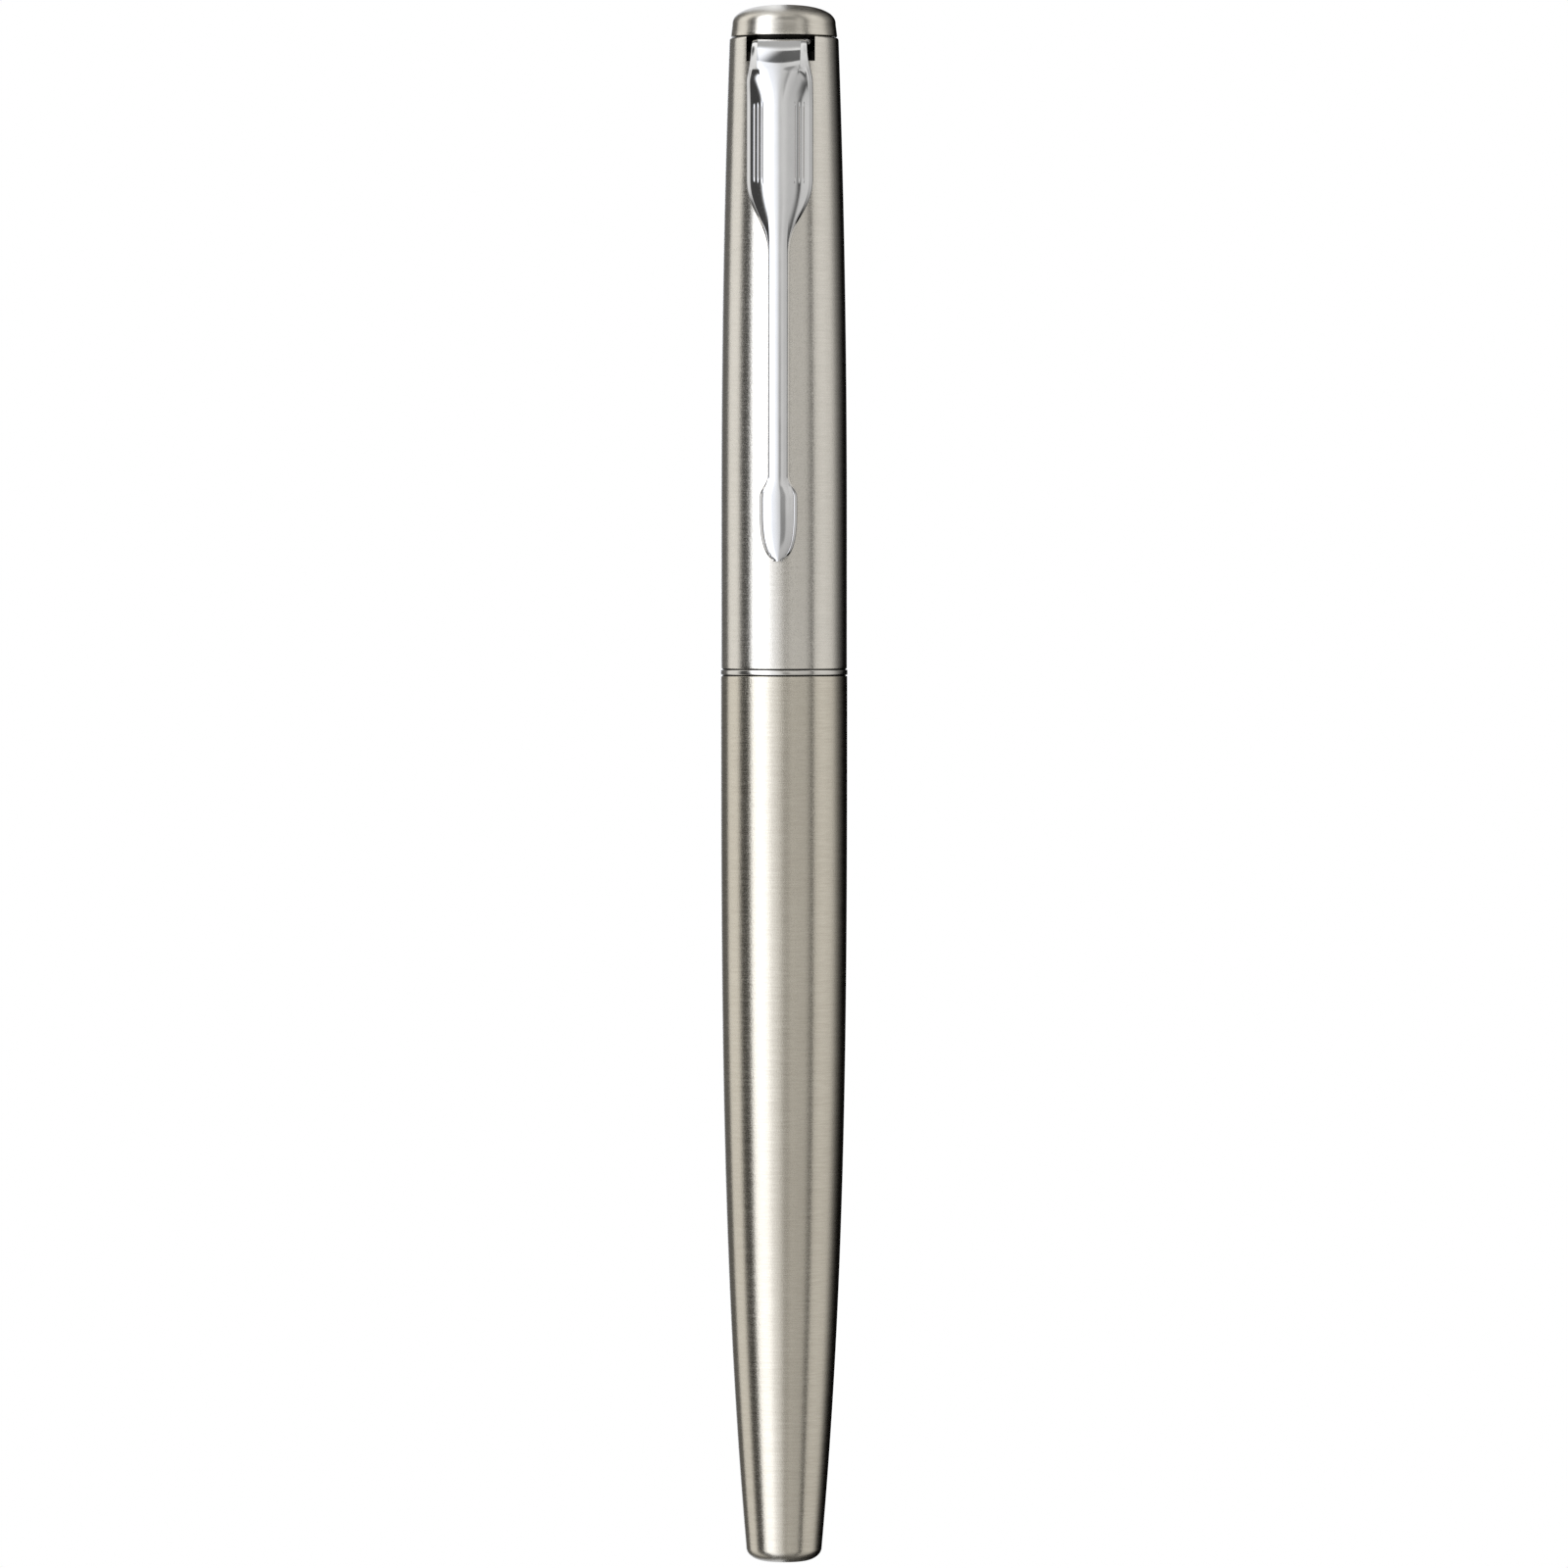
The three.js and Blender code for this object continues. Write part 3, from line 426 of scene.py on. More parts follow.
# Turns an outline in mm about Z, up the outside and down the inside. relief(angle, radius, level)
# gives what is added to the radius there.
def turned(name, outline, sides=160, relief=None, crease=32):
    form = bmesh.new()
    rings = []
    for radius, level in softened(outline):
        if radius < 1e-6:
            rings.append([form.verts.new((0, 0, level * mm))])
            continue
        ring = []
        for i in range(sides):
            angle = 2 * math.pi * i / sides
            r = radius + (relief(angle, radius, level) if relief else 0)
            ring.append(form.verts.new((r * math.cos(angle) * mm, r * math.sin(angle) * mm, level * mm)))
        rings.append(ring)
    for lower, upper in zip(rings, rings[1:] + rings[:1]):
        for i in range(sides):
            k = (i + 1) % sides
            if len(lower) == 1 and len(upper) == 1:
                break
            if len(lower) == 1:
                form.faces.new((lower[0], upper[k], upper[i]))
            elif len(upper) == 1:
                form.faces.new((lower[i], lower[k], upper[0]))
            else:
                form.faces.new((lower[i], lower[k], upper[k], upper[i]))
    return objectFrom(name, form, crease)


def block(name, low, high):  # a cutting block, in mm
    form = bmesh.new()
    bmesh.ops.create_cube(form, size=1)
    for vert in form.verts:
        vert.co = [(a + b) / 2 * mm + side * (b - a) * mm for a, b, side in zip(low, high, vert.co)]
    return objectFrom(name, form)


def combined(piece, other, operation, crease=32):  # cuts or joins two made solids
    modifier = piece.modifiers.new("cut", "BOOLEAN")
    modifier.operation = operation
    modifier.solver = "EXACT"
    modifier.object = other
    bpy.context.view_layer.update()
    result = bpy.data.meshes.new_from_object(piece.evaluated_get(bpy.context.evaluated_depsgraph_get()))
    piece.modifiers.clear()
    piece.data = result
    bpy.data.objects.remove(other)
    result.shade_smooth()
    result.set_sharp_from_angle(angle=math.radians(crease))
    return piece


def smoothStep(value, low, high):
    share = min(1, max(0, (value - low) / (high - low)))
    return share * share * share * (share * (share * 6 - 15) + 10)


def mix(first, second, share):
    return first + (second - first) * share


# Barrel
barrel = {
    "wall": 0.45,
    "flat": 1.5,  # radius of the flat it ends in
    "endRadius": 3.25,  # where the rounded end starts
    "endHeight": 1.14,
    "taper": 3.05,
    "floor": 1.1,
    "edge": 0.04,
    "lip": 5.32,  # low lips on barrel and cap close the joints beside the trim ring, and are painted near-black as the shade in the joints
    "lipBore": 5.02,
    "lipRise": 0.085,
}


def barrelRadiusAt(level):
    share = (barrelTop - level) / (barrelTop - barrelBottom - barrel["endHeight"])
    return barrelRadius - (barrelRadius - barrel["endRadius"]) * share ** barrel["taper"]


def makeBarrel():
    endTop = barrelBottom + barrel["endHeight"]
    end = [(barrel["flat"] + (barrel["endRadius"] - barrel["flat"]) * math.sin(a),
            barrelBottom + barrel["endHeight"] * (1 - math.cos(a))) for a in levels(0, math.pi / 2, 20)]
    outside = [(barrelRadiusAt(z), z) for z in levels(endTop, barrelTop - 0.3, 60)]
    bore = [(barrelRadiusAt(max(z, endTop)) - barrel["wall"], z)
            for z in levels(barrelTop - 0.3, barrel["floor"] + 0.4, 24)]
    lipTop = barrelTop + barrel["lipRise"]
    outline = ([(0, barrelBottom)] + end[:-1] + outside
               + [(barrelRadius, barrelTop, barrel["edge"]), (barrel["lip"], barrelTop, 0.01),
                  (barrel["lip"], lipTop, 0.02), (barrel["lipBore"], lipTop, 0.02)]
               + bore + [(bore[-1][0] - 0.05, barrel["floor"], 0.25), (0, barrel["floor"])])
    return fitPiece(turned("barrelTube", outline, 192), "barrel_shell", steel["barrel"])


# Thread shared by bush and section: how far its ridge stands out at an angle and level
thread = {"pitch": 1.0, "depth": 0.38, "crest": 0.22, "root": 0.62, "fade": 0.35}


def threadRise(angle, level, bottom, top):
    turns = (level - bottom) / thread["pitch"] - angle / (2 * math.pi)
    offset = abs(turns - round(turns)) * thread["pitch"]
    flank = 1 - smoothStep(offset, thread["crest"] / 2, thread["root"] / 2)
    run = smoothStep(level, bottom - 0.1, bottom + thread["fade"])
    run *= 1 - smoothStep(level, top - thread["fade"], top + 0.1)
    return thread["depth"] * flank * run


def threadRelief(radius, bottom, top, side):  # side 1 puts the ridge outside a cylinder, -1 inside a bore
    def relief(angle, r, level):
        ridged = abs(r - radius) < 0.01 and bottom - 0.4 < level < top + 0.4
        return side * threadRise(angle, level, bottom, top) if ridged else 0
    return relief


# Brass bush with the female thread, pressed into the barrel
bush = {"land": 2.8, "landBore": 4.68, "bore": 4.44, "threadDown": 6.7, "threadLength": 3.5, "edge": 0.1}


def makeBush():
    bottom, top, radius = span("thread_bush")
    landBottom = barrelTop - bush["land"]
    threadBottom = barrelTop - bush["threadDown"]
    threadTop = threadBottom + bush["threadLength"]
    step = bush["landBore"] - bush["bore"]
    bore = [(bush["bore"], z) for z in levels(landBottom - step - 0.1, threadBottom - 0.5, 110)]
    outline = ([(bush["bore"], bottom, bush["edge"]), (radius, bottom, bush["edge"]),
                (radius, top, 0.04), (bush["landBore"], top, 0.1), (bush["landBore"], landBottom, 0.05),
                (bush["bore"], landBottom - step, 0.04)] + bore)
    relief = threadRelief(bush["bore"], threadBottom, threadTop, -1)
    return fitPiece(turned("threadBush", outline, 120, relief), "thread_bush", brass)


# Seat and coil of the spring behind the refill
seat = {"base": 0.45, "wall": 0.35, "edge": 0.1, "well": 0.9, "wellDepth": 0.15}


def makeSpringSeat():
    bottom, top, radius = span("spring_seat")
    inner = radius - seat["wall"]
    base = bottom + seat["base"]
    outline = [(0, bottom), (radius, bottom, 0.12), (radius, top, seat["edge"]),
               (inner, top, seat["edge"]), (inner, base, 0.12), (seat["well"], base, 0.05),
               (seat["well"] - 0.1, base - seat["wellDepth"], 0.05), (0, base - seat["wellDepth"])]
    return fitPiece(turned("springSeat", outline, 96), "spring_seat", resin["white"])


coil = {"wire": 0.2, "turns": 6.5, "ends": 1.0, "sides": 14, "steps": 56}


def makeSpring():
    bottom, top, radius = span("refill_spring")
    wire = coil["wire"]
    middle = radius - wire
    low, high = bottom + wire, top - wire
    form = bmesh.new()
    count = int(coil["turns"] * coil["steps"])
    rings = []

    def levelAt(turns):  # close-wound end turns, open turns between them
        inner = coil["turns"] - 2 * coil["ends"]
        closed = 2 * wire * coil["ends"]
        if turns < coil["ends"]:
            return low + 2 * wire * turns
        if turns > coil["turns"] - coil["ends"]:
            return high - 2 * wire * (coil["turns"] - turns)
        return mix(low + closed, high - closed, (turns - coil["ends"]) / inner)

    for i in range(count + 1):
        turns = coil["turns"] * i / count
        angle = 2 * math.pi * turns
        out = Vector((math.cos(angle), math.sin(angle), 0))
        slope = (levelAt(min(coil["turns"], turns + 0.01)) - levelAt(max(0, turns - 0.01))) / 0.02
        along = Vector((-math.sin(angle), math.cos(angle), slope / (2 * math.pi * middle))).normalized()
        up = along.cross(out) * -1
        centre = out * middle + Vector((0, 0, levelAt(turns)))
        end = min(1, min(i, count - i) / 3 + 0.6)
        rings.append([form.verts.new((centre + (out * math.cos(a) + up * math.sin(a)) * wire * end) * mm)
                      for a in levels(0, 2 * math.pi, coil["sides"])[:-1]])
    joinRings(form, rings)
    piece = fitPiece(objectFrom("refillSpring", form, 50), "refill_spring",
                     drawnWire("drawnWire"))
    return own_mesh(piece)


makeBarrel()
makeBush()
makeSpringSeat()
makeSpring()
print("barrel made")


# Ring between barrel and cap
trimRing = {"bore": 4.68, "edge": 0.1}


def makeTrimRing():
    bottom, top, radius = span("trim_ring")
    outline = ringOutline(trimRing["bore"], radius, bottom, top, 0.05, trimRing["edge"])
    return fitPiece(turned("trimRing", outline, 192), "trim_ring", steel["ring"])


makeTrimRing()

# Writing section: thread, register, flange, neck with its snap ring, grip and spigot
section = {
    "bore": 3.27, "noseBore": 1.9, "shoulder": 92.6,
    "threadRoot": 3.96, "threadUp": 3.2, "threadLength": 2.5, "landDown": 2.7, "land": 4.62,
    "flange": 0.8, "neck": 3.4, "grip": 4.2, "waist": 0.48, "waistBack": 6,
    "lip": 3.85, "lipLength": 0.8, "spigot": 3.1,
    "ringUp": 2.5, "ringSeat": 0.2, "ringHalf": 0.45,
    "grooves": 3, "grooveUp": 4.2, "groovePitch": 1.5, "grooveHalf": 0.34, "grooveDepth": 0.15,
}


def gripRadiusAt(level, start, end):
    radius = section["grip"] - section["waist"] * (level - start) / (end - start)
    for i in range(section["grooves"]):
        off = abs(level - start - section["grooveUp"] - i * section["groovePitch"])
        if off < section["grooveHalf"]:
            radius -= section["grooveDepth"] * math.cos(off / section["grooveHalf"] * math.pi / 2) ** 1.2
    return radius


def makeSection():
    tail, spigotTop, flangeRadius = span("grip_section")
    flangeBottom = span("trim_ring")[1] + 0.05
    flangeTop = flangeBottom + section["flange"]
    neckTop = flangeTop + section["neck"]
    noseBottom = span("nose_cone")[0]
    gripTop = noseBottom - 0.05
    landBottom = barrelTop - section["landDown"]
    threadBottom = tail + section["threadUp"]
    threadTop = threadBottom + section["threadLength"]
    root = section["threadRoot"]
    ring = flangeTop + section["ringUp"]
    waistTop = gripTop - section["waistBack"]
    waistRadius = gripRadiusAt(waistTop, neckTop, waistTop)
    lipBottom = gripTop - section["lipLength"]
    flare = [(mix(waistRadius, section["lip"], ((z - waistTop) / (lipBottom - waistTop)) ** 2), z)
             for z in levels(waistTop, lipBottom, 24)]
    low = section["grip"] - section["ringSeat"]
    outline = (
        [(section["bore"], tail, 0.05), (root, tail, 0.2)]
        + [(root, z) for z in levels(threadBottom - 0.6, threadTop + 0.45, 96)]
        + [(root, landBottom - 0.24, 0.05), (section["land"], landBottom + 0.24, 0.1),
           (section["land"], flangeBottom, 0.02), (flangeRadius, flangeBottom, 0.04),
           (flangeRadius, flangeTop, 0.12), (section["grip"], flangeTop, 0.05),
           (section["grip"], ring - section["ringHalf"], 0.04), (low, ring - section["ringHalf"], 0.03),
           (low, ring + section["ringHalf"], 0.03), (section["grip"], ring + section["ringHalf"], 0.04)]
        + [(gripRadiusAt(z, neckTop, waistTop), z) for z in levels(neckTop + 0.2, waistTop, 150)]
        + flare[1:]
        + [(section["lip"], gripTop, 0.14), (section["spigot"], gripTop, 0.03),
           (section["spigot"], spigotTop, 0.1), (section["noseBore"], spigotTop, 0.08),
           (section["noseBore"], section["shoulder"], 0.05), (section["bore"], section["shoulder"], 0.05)])
    relief = threadRelief(root, threadBottom, threadTop, 1)
    return fitPiece(turned("gripSection", outline, 144, relief), "grip_section",
                    resin["black"])


snapRing = {"inner": 4.05, "side": 0.26}


def makeSnapRing():
    bottom, top, radius = span("cap_snap_ring")
    edge = radius - snapRing["side"]
    quarter = (top - bottom) / 4
    outline = [(snapRing["inner"], bottom, 0.03), (edge, bottom, 0.06), (radius, bottom + quarter, 0.16),
               (radius, top - quarter, 0.16), (edge, top, 0.06), (snapRing["inner"], top, 0.03)]
    return fitPiece(turned("snapRing", outline, 144), "cap_snap_ring", steel["nose"])


nose = {"tip": 1.75, "swell": 0.2, "lip": 0.3, "socket": 3.15, "bore": 1.9, "point": 1.35, "socketUp": 3.9}


def makeNose():
    bottom, top, radius = span("nose_cone")
    base = section["lip"] - 0.1
    flank = [(mix(base, nose["tip"], s) + nose["swell"] * math.sin(math.pi * s) ** 0.9,
              mix(bottom + nose["lip"], top - nose["lip"], s)) for s in levels(0, 1, 40)]
    socketTop = bottom + nose["socketUp"]
    outline = ([(nose["socket"], bottom, 0.04), (base, bottom, 0.1)] + flank[1:]
               + [(nose["tip"] - 0.02, top, 0.28), (nose["point"], top, 0.12),
                  (nose["point"], socketTop + 1, 0.1), (nose["bore"], socketTop, 0.05),
                  (nose["socket"], socketTop, 0.05)])
    return fitPiece(turned("noseCone", outline, 144), "nose_cone", steel["nose"])


makeSection()
makeSnapRing()
makeNose()
print("section made")

# Cap: shell with its notched rim, liner, finial and stud
cap = {
    "wall": 0.42, "topRadius": 4.69, "taperLength": 41.2, "taper": 2.08,
    "rimRound": 0.3, "mouthRound": 0.05,
    "bay": 1.3, "ledge": 0.75, "ledgeBore": 2.4,
    "notchHalf": 2.95, "notchDepth": 2.15,
}


def capRadiusAt(level):
    share = max(0, (level - capRim + cap["taperLength"]) / cap["taperLength"])
    return capRadius - (capRadius - cap["topRadius"]) * share ** cap["taper"]


def makeCap():
    topBore = cap["topRadius"] - cap["wall"]
    ledgeTop = capRim - cap["bay"]
    ledgeBottom = ledgeTop - cap["ledge"]
    outside = [(capRadiusAt(z), z) for z in levels(capMouth + 0.3, capRim - 0.6, 60)]
    bore = [(capRadiusAt(z) - cap["wall"], z) for z in levels(ledgeBottom - 0.3, capMouth + 0.3, 30)]
    lipBottom = capMouth - barrel["lipRise"]
    outline = ([(barrel["lip"], capMouth, 0.01), (capRadius, capMouth, cap["mouthRound"])] + outside
               + [(cap["topRadius"], capRim, cap["rimRound"]), (topBore, capRim, 0.06),
                  (topBore, ledgeTop, 0.08), (cap["ledgeBore"], ledgeTop, 0.04),
                  (cap["ledgeBore"], ledgeBottom, 0.04), (bore[0][0], ledgeBottom, 0.15)]
               + bore + [(barrel["lipBore"], lipBottom, 0.02), (barrel["lip"], lipBottom, 0.02)])
    shell = turned("capShell", outline, 192)
    inner = math.sqrt(topBore ** 2 - cap["notchHalf"] ** 2) - 0.1
    cutter = block("notch", (-cap["notchHalf"], -capRadius - 1, capRim - cap["notchDepth"]),
                   (cap["notchHalf"], -inner, capRim + 1))
    combined(shell, cutter, "DIFFERENCE")
    return fitPiece(shell, "cap_shell", steel["cap"])


liner = {"wall": 0.35, "bead": 0.09, "beadUp": 1.1, "beadHalf": 0.45, "boss": 2.6, "crown": 1.4,
         "flange": 1.2, "stud": 1.35, "slotHalf": 0.4, "slotLength": 8, "ceilingDown": 8.9,
         "studDown": 4.65}


def makeLiner():
    mouth, top, radius = span("inner_cap")
    slip = cap["wall"] + 0.05
    ceiling = top - liner["ceilingDown"]
    crown = ceiling + liner["crown"]
    bead = mouth + liner["beadUp"]
    half = liner["beadHalf"]
    beadBase = radius - liner["wall"]

    def outer(z):
        return capRadiusAt(z) - slip

    outline = (
        [(0, ceiling), (min(beadBase, outer(ceiling) - liner["wall"]), ceiling, 0.3)]
        + [(outer(z) - liner["wall"], z) for z in levels(ceiling - 1, bead + 2 * half, 24)]
        + [(beadBase, bead + half, 0.1), (beadBase - liner["bead"], bead, 0.3),
           (beadBase, bead - half, 0.1), (beadBase, mouth, 0.06)]
        + [(outer(mouth), mouth, 0.06)]
        + [(outer(z), z) for z in levels(mouth + 0.2, crown - 0.2, 40)]
        + [(outer(crown), crown, 0.3), (liner["boss"], crown, 0.2),
           (liner["boss"], top - liner["flange"], 0.2), (outer(top), top - liner["flange"], 0.08),
           (outer(top), top, 0.08), (liner["stud"], top, 0.08),
           (liner["stud"], top - liner["studDown"], 0.1), (0, top - liner["studDown"])])
    shell = turned("capLiner", outline, 120)
    low, high = mouth - 1, mouth + liner["slotLength"]
    for wide, deep in ((liner["slotHalf"], 9), (9, liner["slotHalf"])):
        combined(shell, block("slot", (-wide, -deep, low), (wide, deep, high)), "DIFFERENCE")
    return fitPiece(shell, "inner_cap", resin["grey"])


finial = {"skirt": 0.135, "dome": 1.7, "power": 2.4, "spigot": 4.07, "spigotLength": 0.3, "hole": 1.35,
          "holeBack": 0.95, "edge": 0.1}


def makeFinial():
    bottom, top, radius = span("cap_finial")
    skirtBottom = bottom + finial["spigotLength"]
    domeBottom = top - finial["dome"]
    neckRadius = radius - finial["skirt"]
    power = 2 / finial["power"]
    dome = [(neckRadius * math.cos(a) ** power, domeBottom + finial["dome"] * math.sin(a) ** power)
            for a in levels(0, math.pi / 2, 48)]
    outline = ([(0, top - finial["holeBack"]), (finial["hole"], top - finial["holeBack"], 0.1),
                (finial["hole"], bottom, 0.05), (finial["spigot"], bottom, 0.05),
                (finial["spigot"], skirtBottom, 0.02), (radius, skirtBottom, finial["edge"])]
               + [(mix(radius, neckRadius, s), mix(skirtBottom, domeBottom, s)) for s in (0.35, 0.6, 0.8)]
               + dome[:-1] + [(0, top)])
    return fitPiece(turned("capFinial", outline, 192, None, 60), "cap_finial",
                    steel["finial"])


stud = {"chamfer": 0.26, "grooves": 9, "grooveDepth": 0.12}


def makeStud():
    bottom, top, radius = span("finial_stud")
    groove, flat = radius - stud["grooveDepth"], radius - stud["chamfer"]
    rings = []
    for z in levels(bottom + 1, top - 1.2, stud["grooves"])[:-1]:
        rings += [(radius, z, 0.05), (groove, z + 0.12, 0.04)]
        rings += [(groove, z + 0.2, 0.04), (radius, z + 0.32, 0.05)]
    outline = ([(0, bottom), (flat, bottom, 0.05), (radius, bottom + stud["chamfer"], 0.08)] + rings
               + [(radius, top - stud["chamfer"], 0.08), (flat, top, 0.05), (0, top)])
    return fitPiece(turned("finialStud", outline, 80), "finial_stud", brass)


makeCap()
makeLiner()
makeFinial()
makeStud()
print("cap made")

# Clip: washer and tab, bend, broad plate with engraved lines on each wing, slim shank, rounded pad
clip = {
    "bend": 1.8, "bendRise": 2.6, "plateOut": 6.16, "sheet": 0.45,
    "tabHalf": 2.36, "bendHalf": 2.66, "plateHalf": 2.86, "shankHalf": 0.95, "padHalf": 1.62,
    "crownTop": 1.86, "crown": 1.0, "shankCrown": 0.74, "crownRise": 0.21, "shankRise": 0.17,
    "flareFrom": 1.2, "flareTo": 6.4,  # where the crown narrows, below the rim
    "plateLength": 12, "shoulder": 7, "padTop": 38.6, "padBlend": 1.1, "padFlat": 1.7,
    "drop": 1.13, "bendDrop": 0.62, "bow": 0.32, "fall": 0.5, "side": 0.34, "edge": 0.22,
    "shankDrop": 0.22, "shankFall": 0.45, "shankSide": 0.13, "shankEdge": 0.2,
    "padDrop": 0.2, "padFall": 0.3, "padSide": 0.22, "padRise": 0.12,
    "padLift": 0.42, "padPlane": 5.46, "padEnd": 0.3,
    "round": 0.07, "flat": 0.2,
    "grooves": (0.27, 0.5, 0.73), "grooveHalf": 0.06, "grooveDepth": 0.035,
    "grooveStart": 5.6, "grooveEnd": 12.8,
    "washer": 3.97, "washerBore": 1.85,
}


def clipSection(station):
    half, crown, rise, drop, fall = (station[k] for k in ("half", "crown", "rise", "drop", "fall"))
    rounding = min(clip["round"], half * 0.2)
    side = min(station["side"], 0.3 * half)
    wingEdge = half - side
    inside = half - rounding
    crease = min(station["crease"], 0.2 * (wingEdge - crown))

    def depthAt(x):
        depth = rise * (x / crown) ** 2
        across = (x - crown) / (wingEdge - crown)
        wing = rise + (drop - rise) * mix(across, across * across, station["bow"])
        depth = mix(depth, wing, smoothStep(x, crown - crease, crown + crease))
        flank = drop + fall * (x - wingEdge) / side
        depth = mix(depth, flank, smoothStep(x, wingEdge - crease, wingEdge + crease))
        return depth + clip["grooveDepth"] * math.sin(cutAt(x) * math.pi / 2)

    def cutAt(x):  # three lines on each wing, one round the pad
        cut = 0
        for share in clip["grooves"]:
            off = abs(x - mix(crown, wingEdge, share)) / clip["grooveHalf"]
            cut = max(cut, station["engraved"] * (1 - off))
        off = abs(x - wingEdge + clip["grooveHalf"]) / clip["grooveHalf"]
        return max(cut, station["outlined"] * (1 - off))

    top = [(x, depthAt(x)) for x in levels(0, crown - crease, 14)]
    top += [(x, depthAt(x)) for x in levels(crown - crease * 0.6, wingEdge - crease, 60)]
    top += [(x, depthAt(x)) for x in levels(wingEdge - crease * 0.6, inside, 8)]
    last = top[-1]
    deepest = last[1] + max(station["edge"], rounding * 2.2)
    corner = (half, last[1] + fall * rounding / side)
    end = (half, corner[1] + rounding)
    shoulder = [tuple(rounded(*each, k / 4) for each in zip(last, corner, end)) for k in range(1, 5)]
    deepest = max(deepest, shoulder[-1][1] + rounding)
    innerEdge = half - min(clip["flat"], half * 0.4)
    below = [(half, deepest - rounding * 0.5), (half - rounding * 0.5, deepest), (innerEdge, deepest),
             (min(crown, innerEdge) - 0.04, max(station["corner"], min(rise + 0.2, deepest)))]
    section = top + shoulder + below
    return section, [max(0, cutAt(x)) for x, _ in top] + [0] * (len(section) - len(top))


def clipOut(level, bendLevel, padLevel, padOut):
    return mix(clip["plateOut"], padOut, min(1, (bendLevel - level) / (bendLevel - padLevel)))


def bladeStation(level, bendLevel, padLevel, padOut, length):
    below = capRim - level
    opened = smoothStep(below, capRim - bendLevel - 0.4, capRim - bendLevel + 1.3)
    narrow = smoothStep(below, clip["plateLength"], clip["plateLength"] + clip["shoulder"])
    widen = smoothStep(below, clip["padTop"] - clip["padBlend"], clip["padTop"] + clip["padBlend"])
    roundTop = clip["padTop"] + clip["padFlat"]
    rounding = max(0, (below - roundTop) / (length - roundTop))
    taper = max(clip["padEnd"], (1 - rounding ** 3) ** 0.45)
    toe = max(0, 1.4 * rounding - 0.4)
    plate = mix(clip["bendHalf"], clip["plateHalf"], opened)
    half = mix(mix(plate, clip["shankHalf"], narrow), clip["padHalf"], widen) * taper
    crown = mix(clip["crownTop"], clip["crown"], smoothStep(below, clip["flareFrom"], clip["flareTo"]))
    crown = mix(crown, clip["shankCrown"], narrow)
    crown = min(mix(crown, clip["padHalf"] * 0.6, widen), half * mix(0.79, 0.62, widen))
    out = clipOut(level, bendLevel, padLevel, padOut) - clip["padLift"] * rounding ** 2 * 0.6
    solid = out - clip["padPlane"] - clip["padLift"] * toe

    def along(atPlate, atShank, atPad):
        return mix(mix(atPlate, atShank, narrow), atPad, widen)

    wing = clip["drop"] * mix(clip["bendDrop"], 1, smoothStep(below, capRim - bendLevel, clip["flareTo"]))
    drop = along(wing, clip["shankDrop"], clip["padDrop"])
    fall = along(clip["fall"], clip["shankFall"], clip["padFall"])
    edge = along(clip["edge"], clip["shankEdge"], solid - drop - fall)
    engraved = smoothStep(below, clip["grooveStart"], clip["grooveStart"] + 0.8)
    engraved *= 1 - smoothStep(below, clip["grooveEnd"] - 0.8, clip["grooveEnd"])
    return {
        "half": half, "crown": crown, "rise": along(clip["crownRise"], clip["shankRise"], clip["padRise"]),
        "side": along(clip["side"], clip["shankSide"], clip["padSide"]),
        "drop": drop, "fall": fall, "edge": edge, "engraved": engraved,
        "outlined": smoothStep(widen, 0.7, 1) * (1 - smoothStep(rounding, 0.8, 0.93)),
        "crease": mix(0.22, 0.07, smoothStep(below, clip["flareFrom"], clip["flareTo"])),
        "corner": mix(clip["sheet"] + 0.25, solid - 0.02 * toe, widen),
        "under": mix(clip["sheet"], solid - 0.05 * toe, widen),
        "bow": mix(clip["bow"] * opened, 0, narrow), "origin": (-out, level), "inward": (1, 0),
    }


def bendStation(angle, reach, bendLevel):
    share = angle / (math.pi / 2)
    middle = -(clip["plateOut"] - clip["bend"])
    tilt = math.atan2(clip["bendRise"] * math.sin(angle), clip["bend"] * math.cos(angle))
    return {
        "half": mix(clip["tabHalf"], clip["bendHalf"], share ** 3),
        "crown": mix(clip["tabHalf"] - 0.5, clip["crownTop"], share),
        "rise": mix(0.04, clip["crownRise"], share ** 2),
        "drop": mix(0.07, clip["drop"] * clip["bendDrop"], share ** 2),
        "fall": mix(0.12, clip["fall"], share ** 2),
        "edge": mix(clip["sheet"] - 0.2, clip["edge"], share), "engraved": 0, "outlined": 0,
        "side": clip["side"], "crease": 0.22,
        "corner": clip["sheet"] + 0.12, "under": clip["sheet"], "bow": 0,
        "origin": (middle - clip["bend"] * math.sin(angle) + reach,
                   bendLevel + clip["bendRise"] * math.cos(angle)),
        "inward": (math.sin(tilt), -math.cos(tilt)),
    }


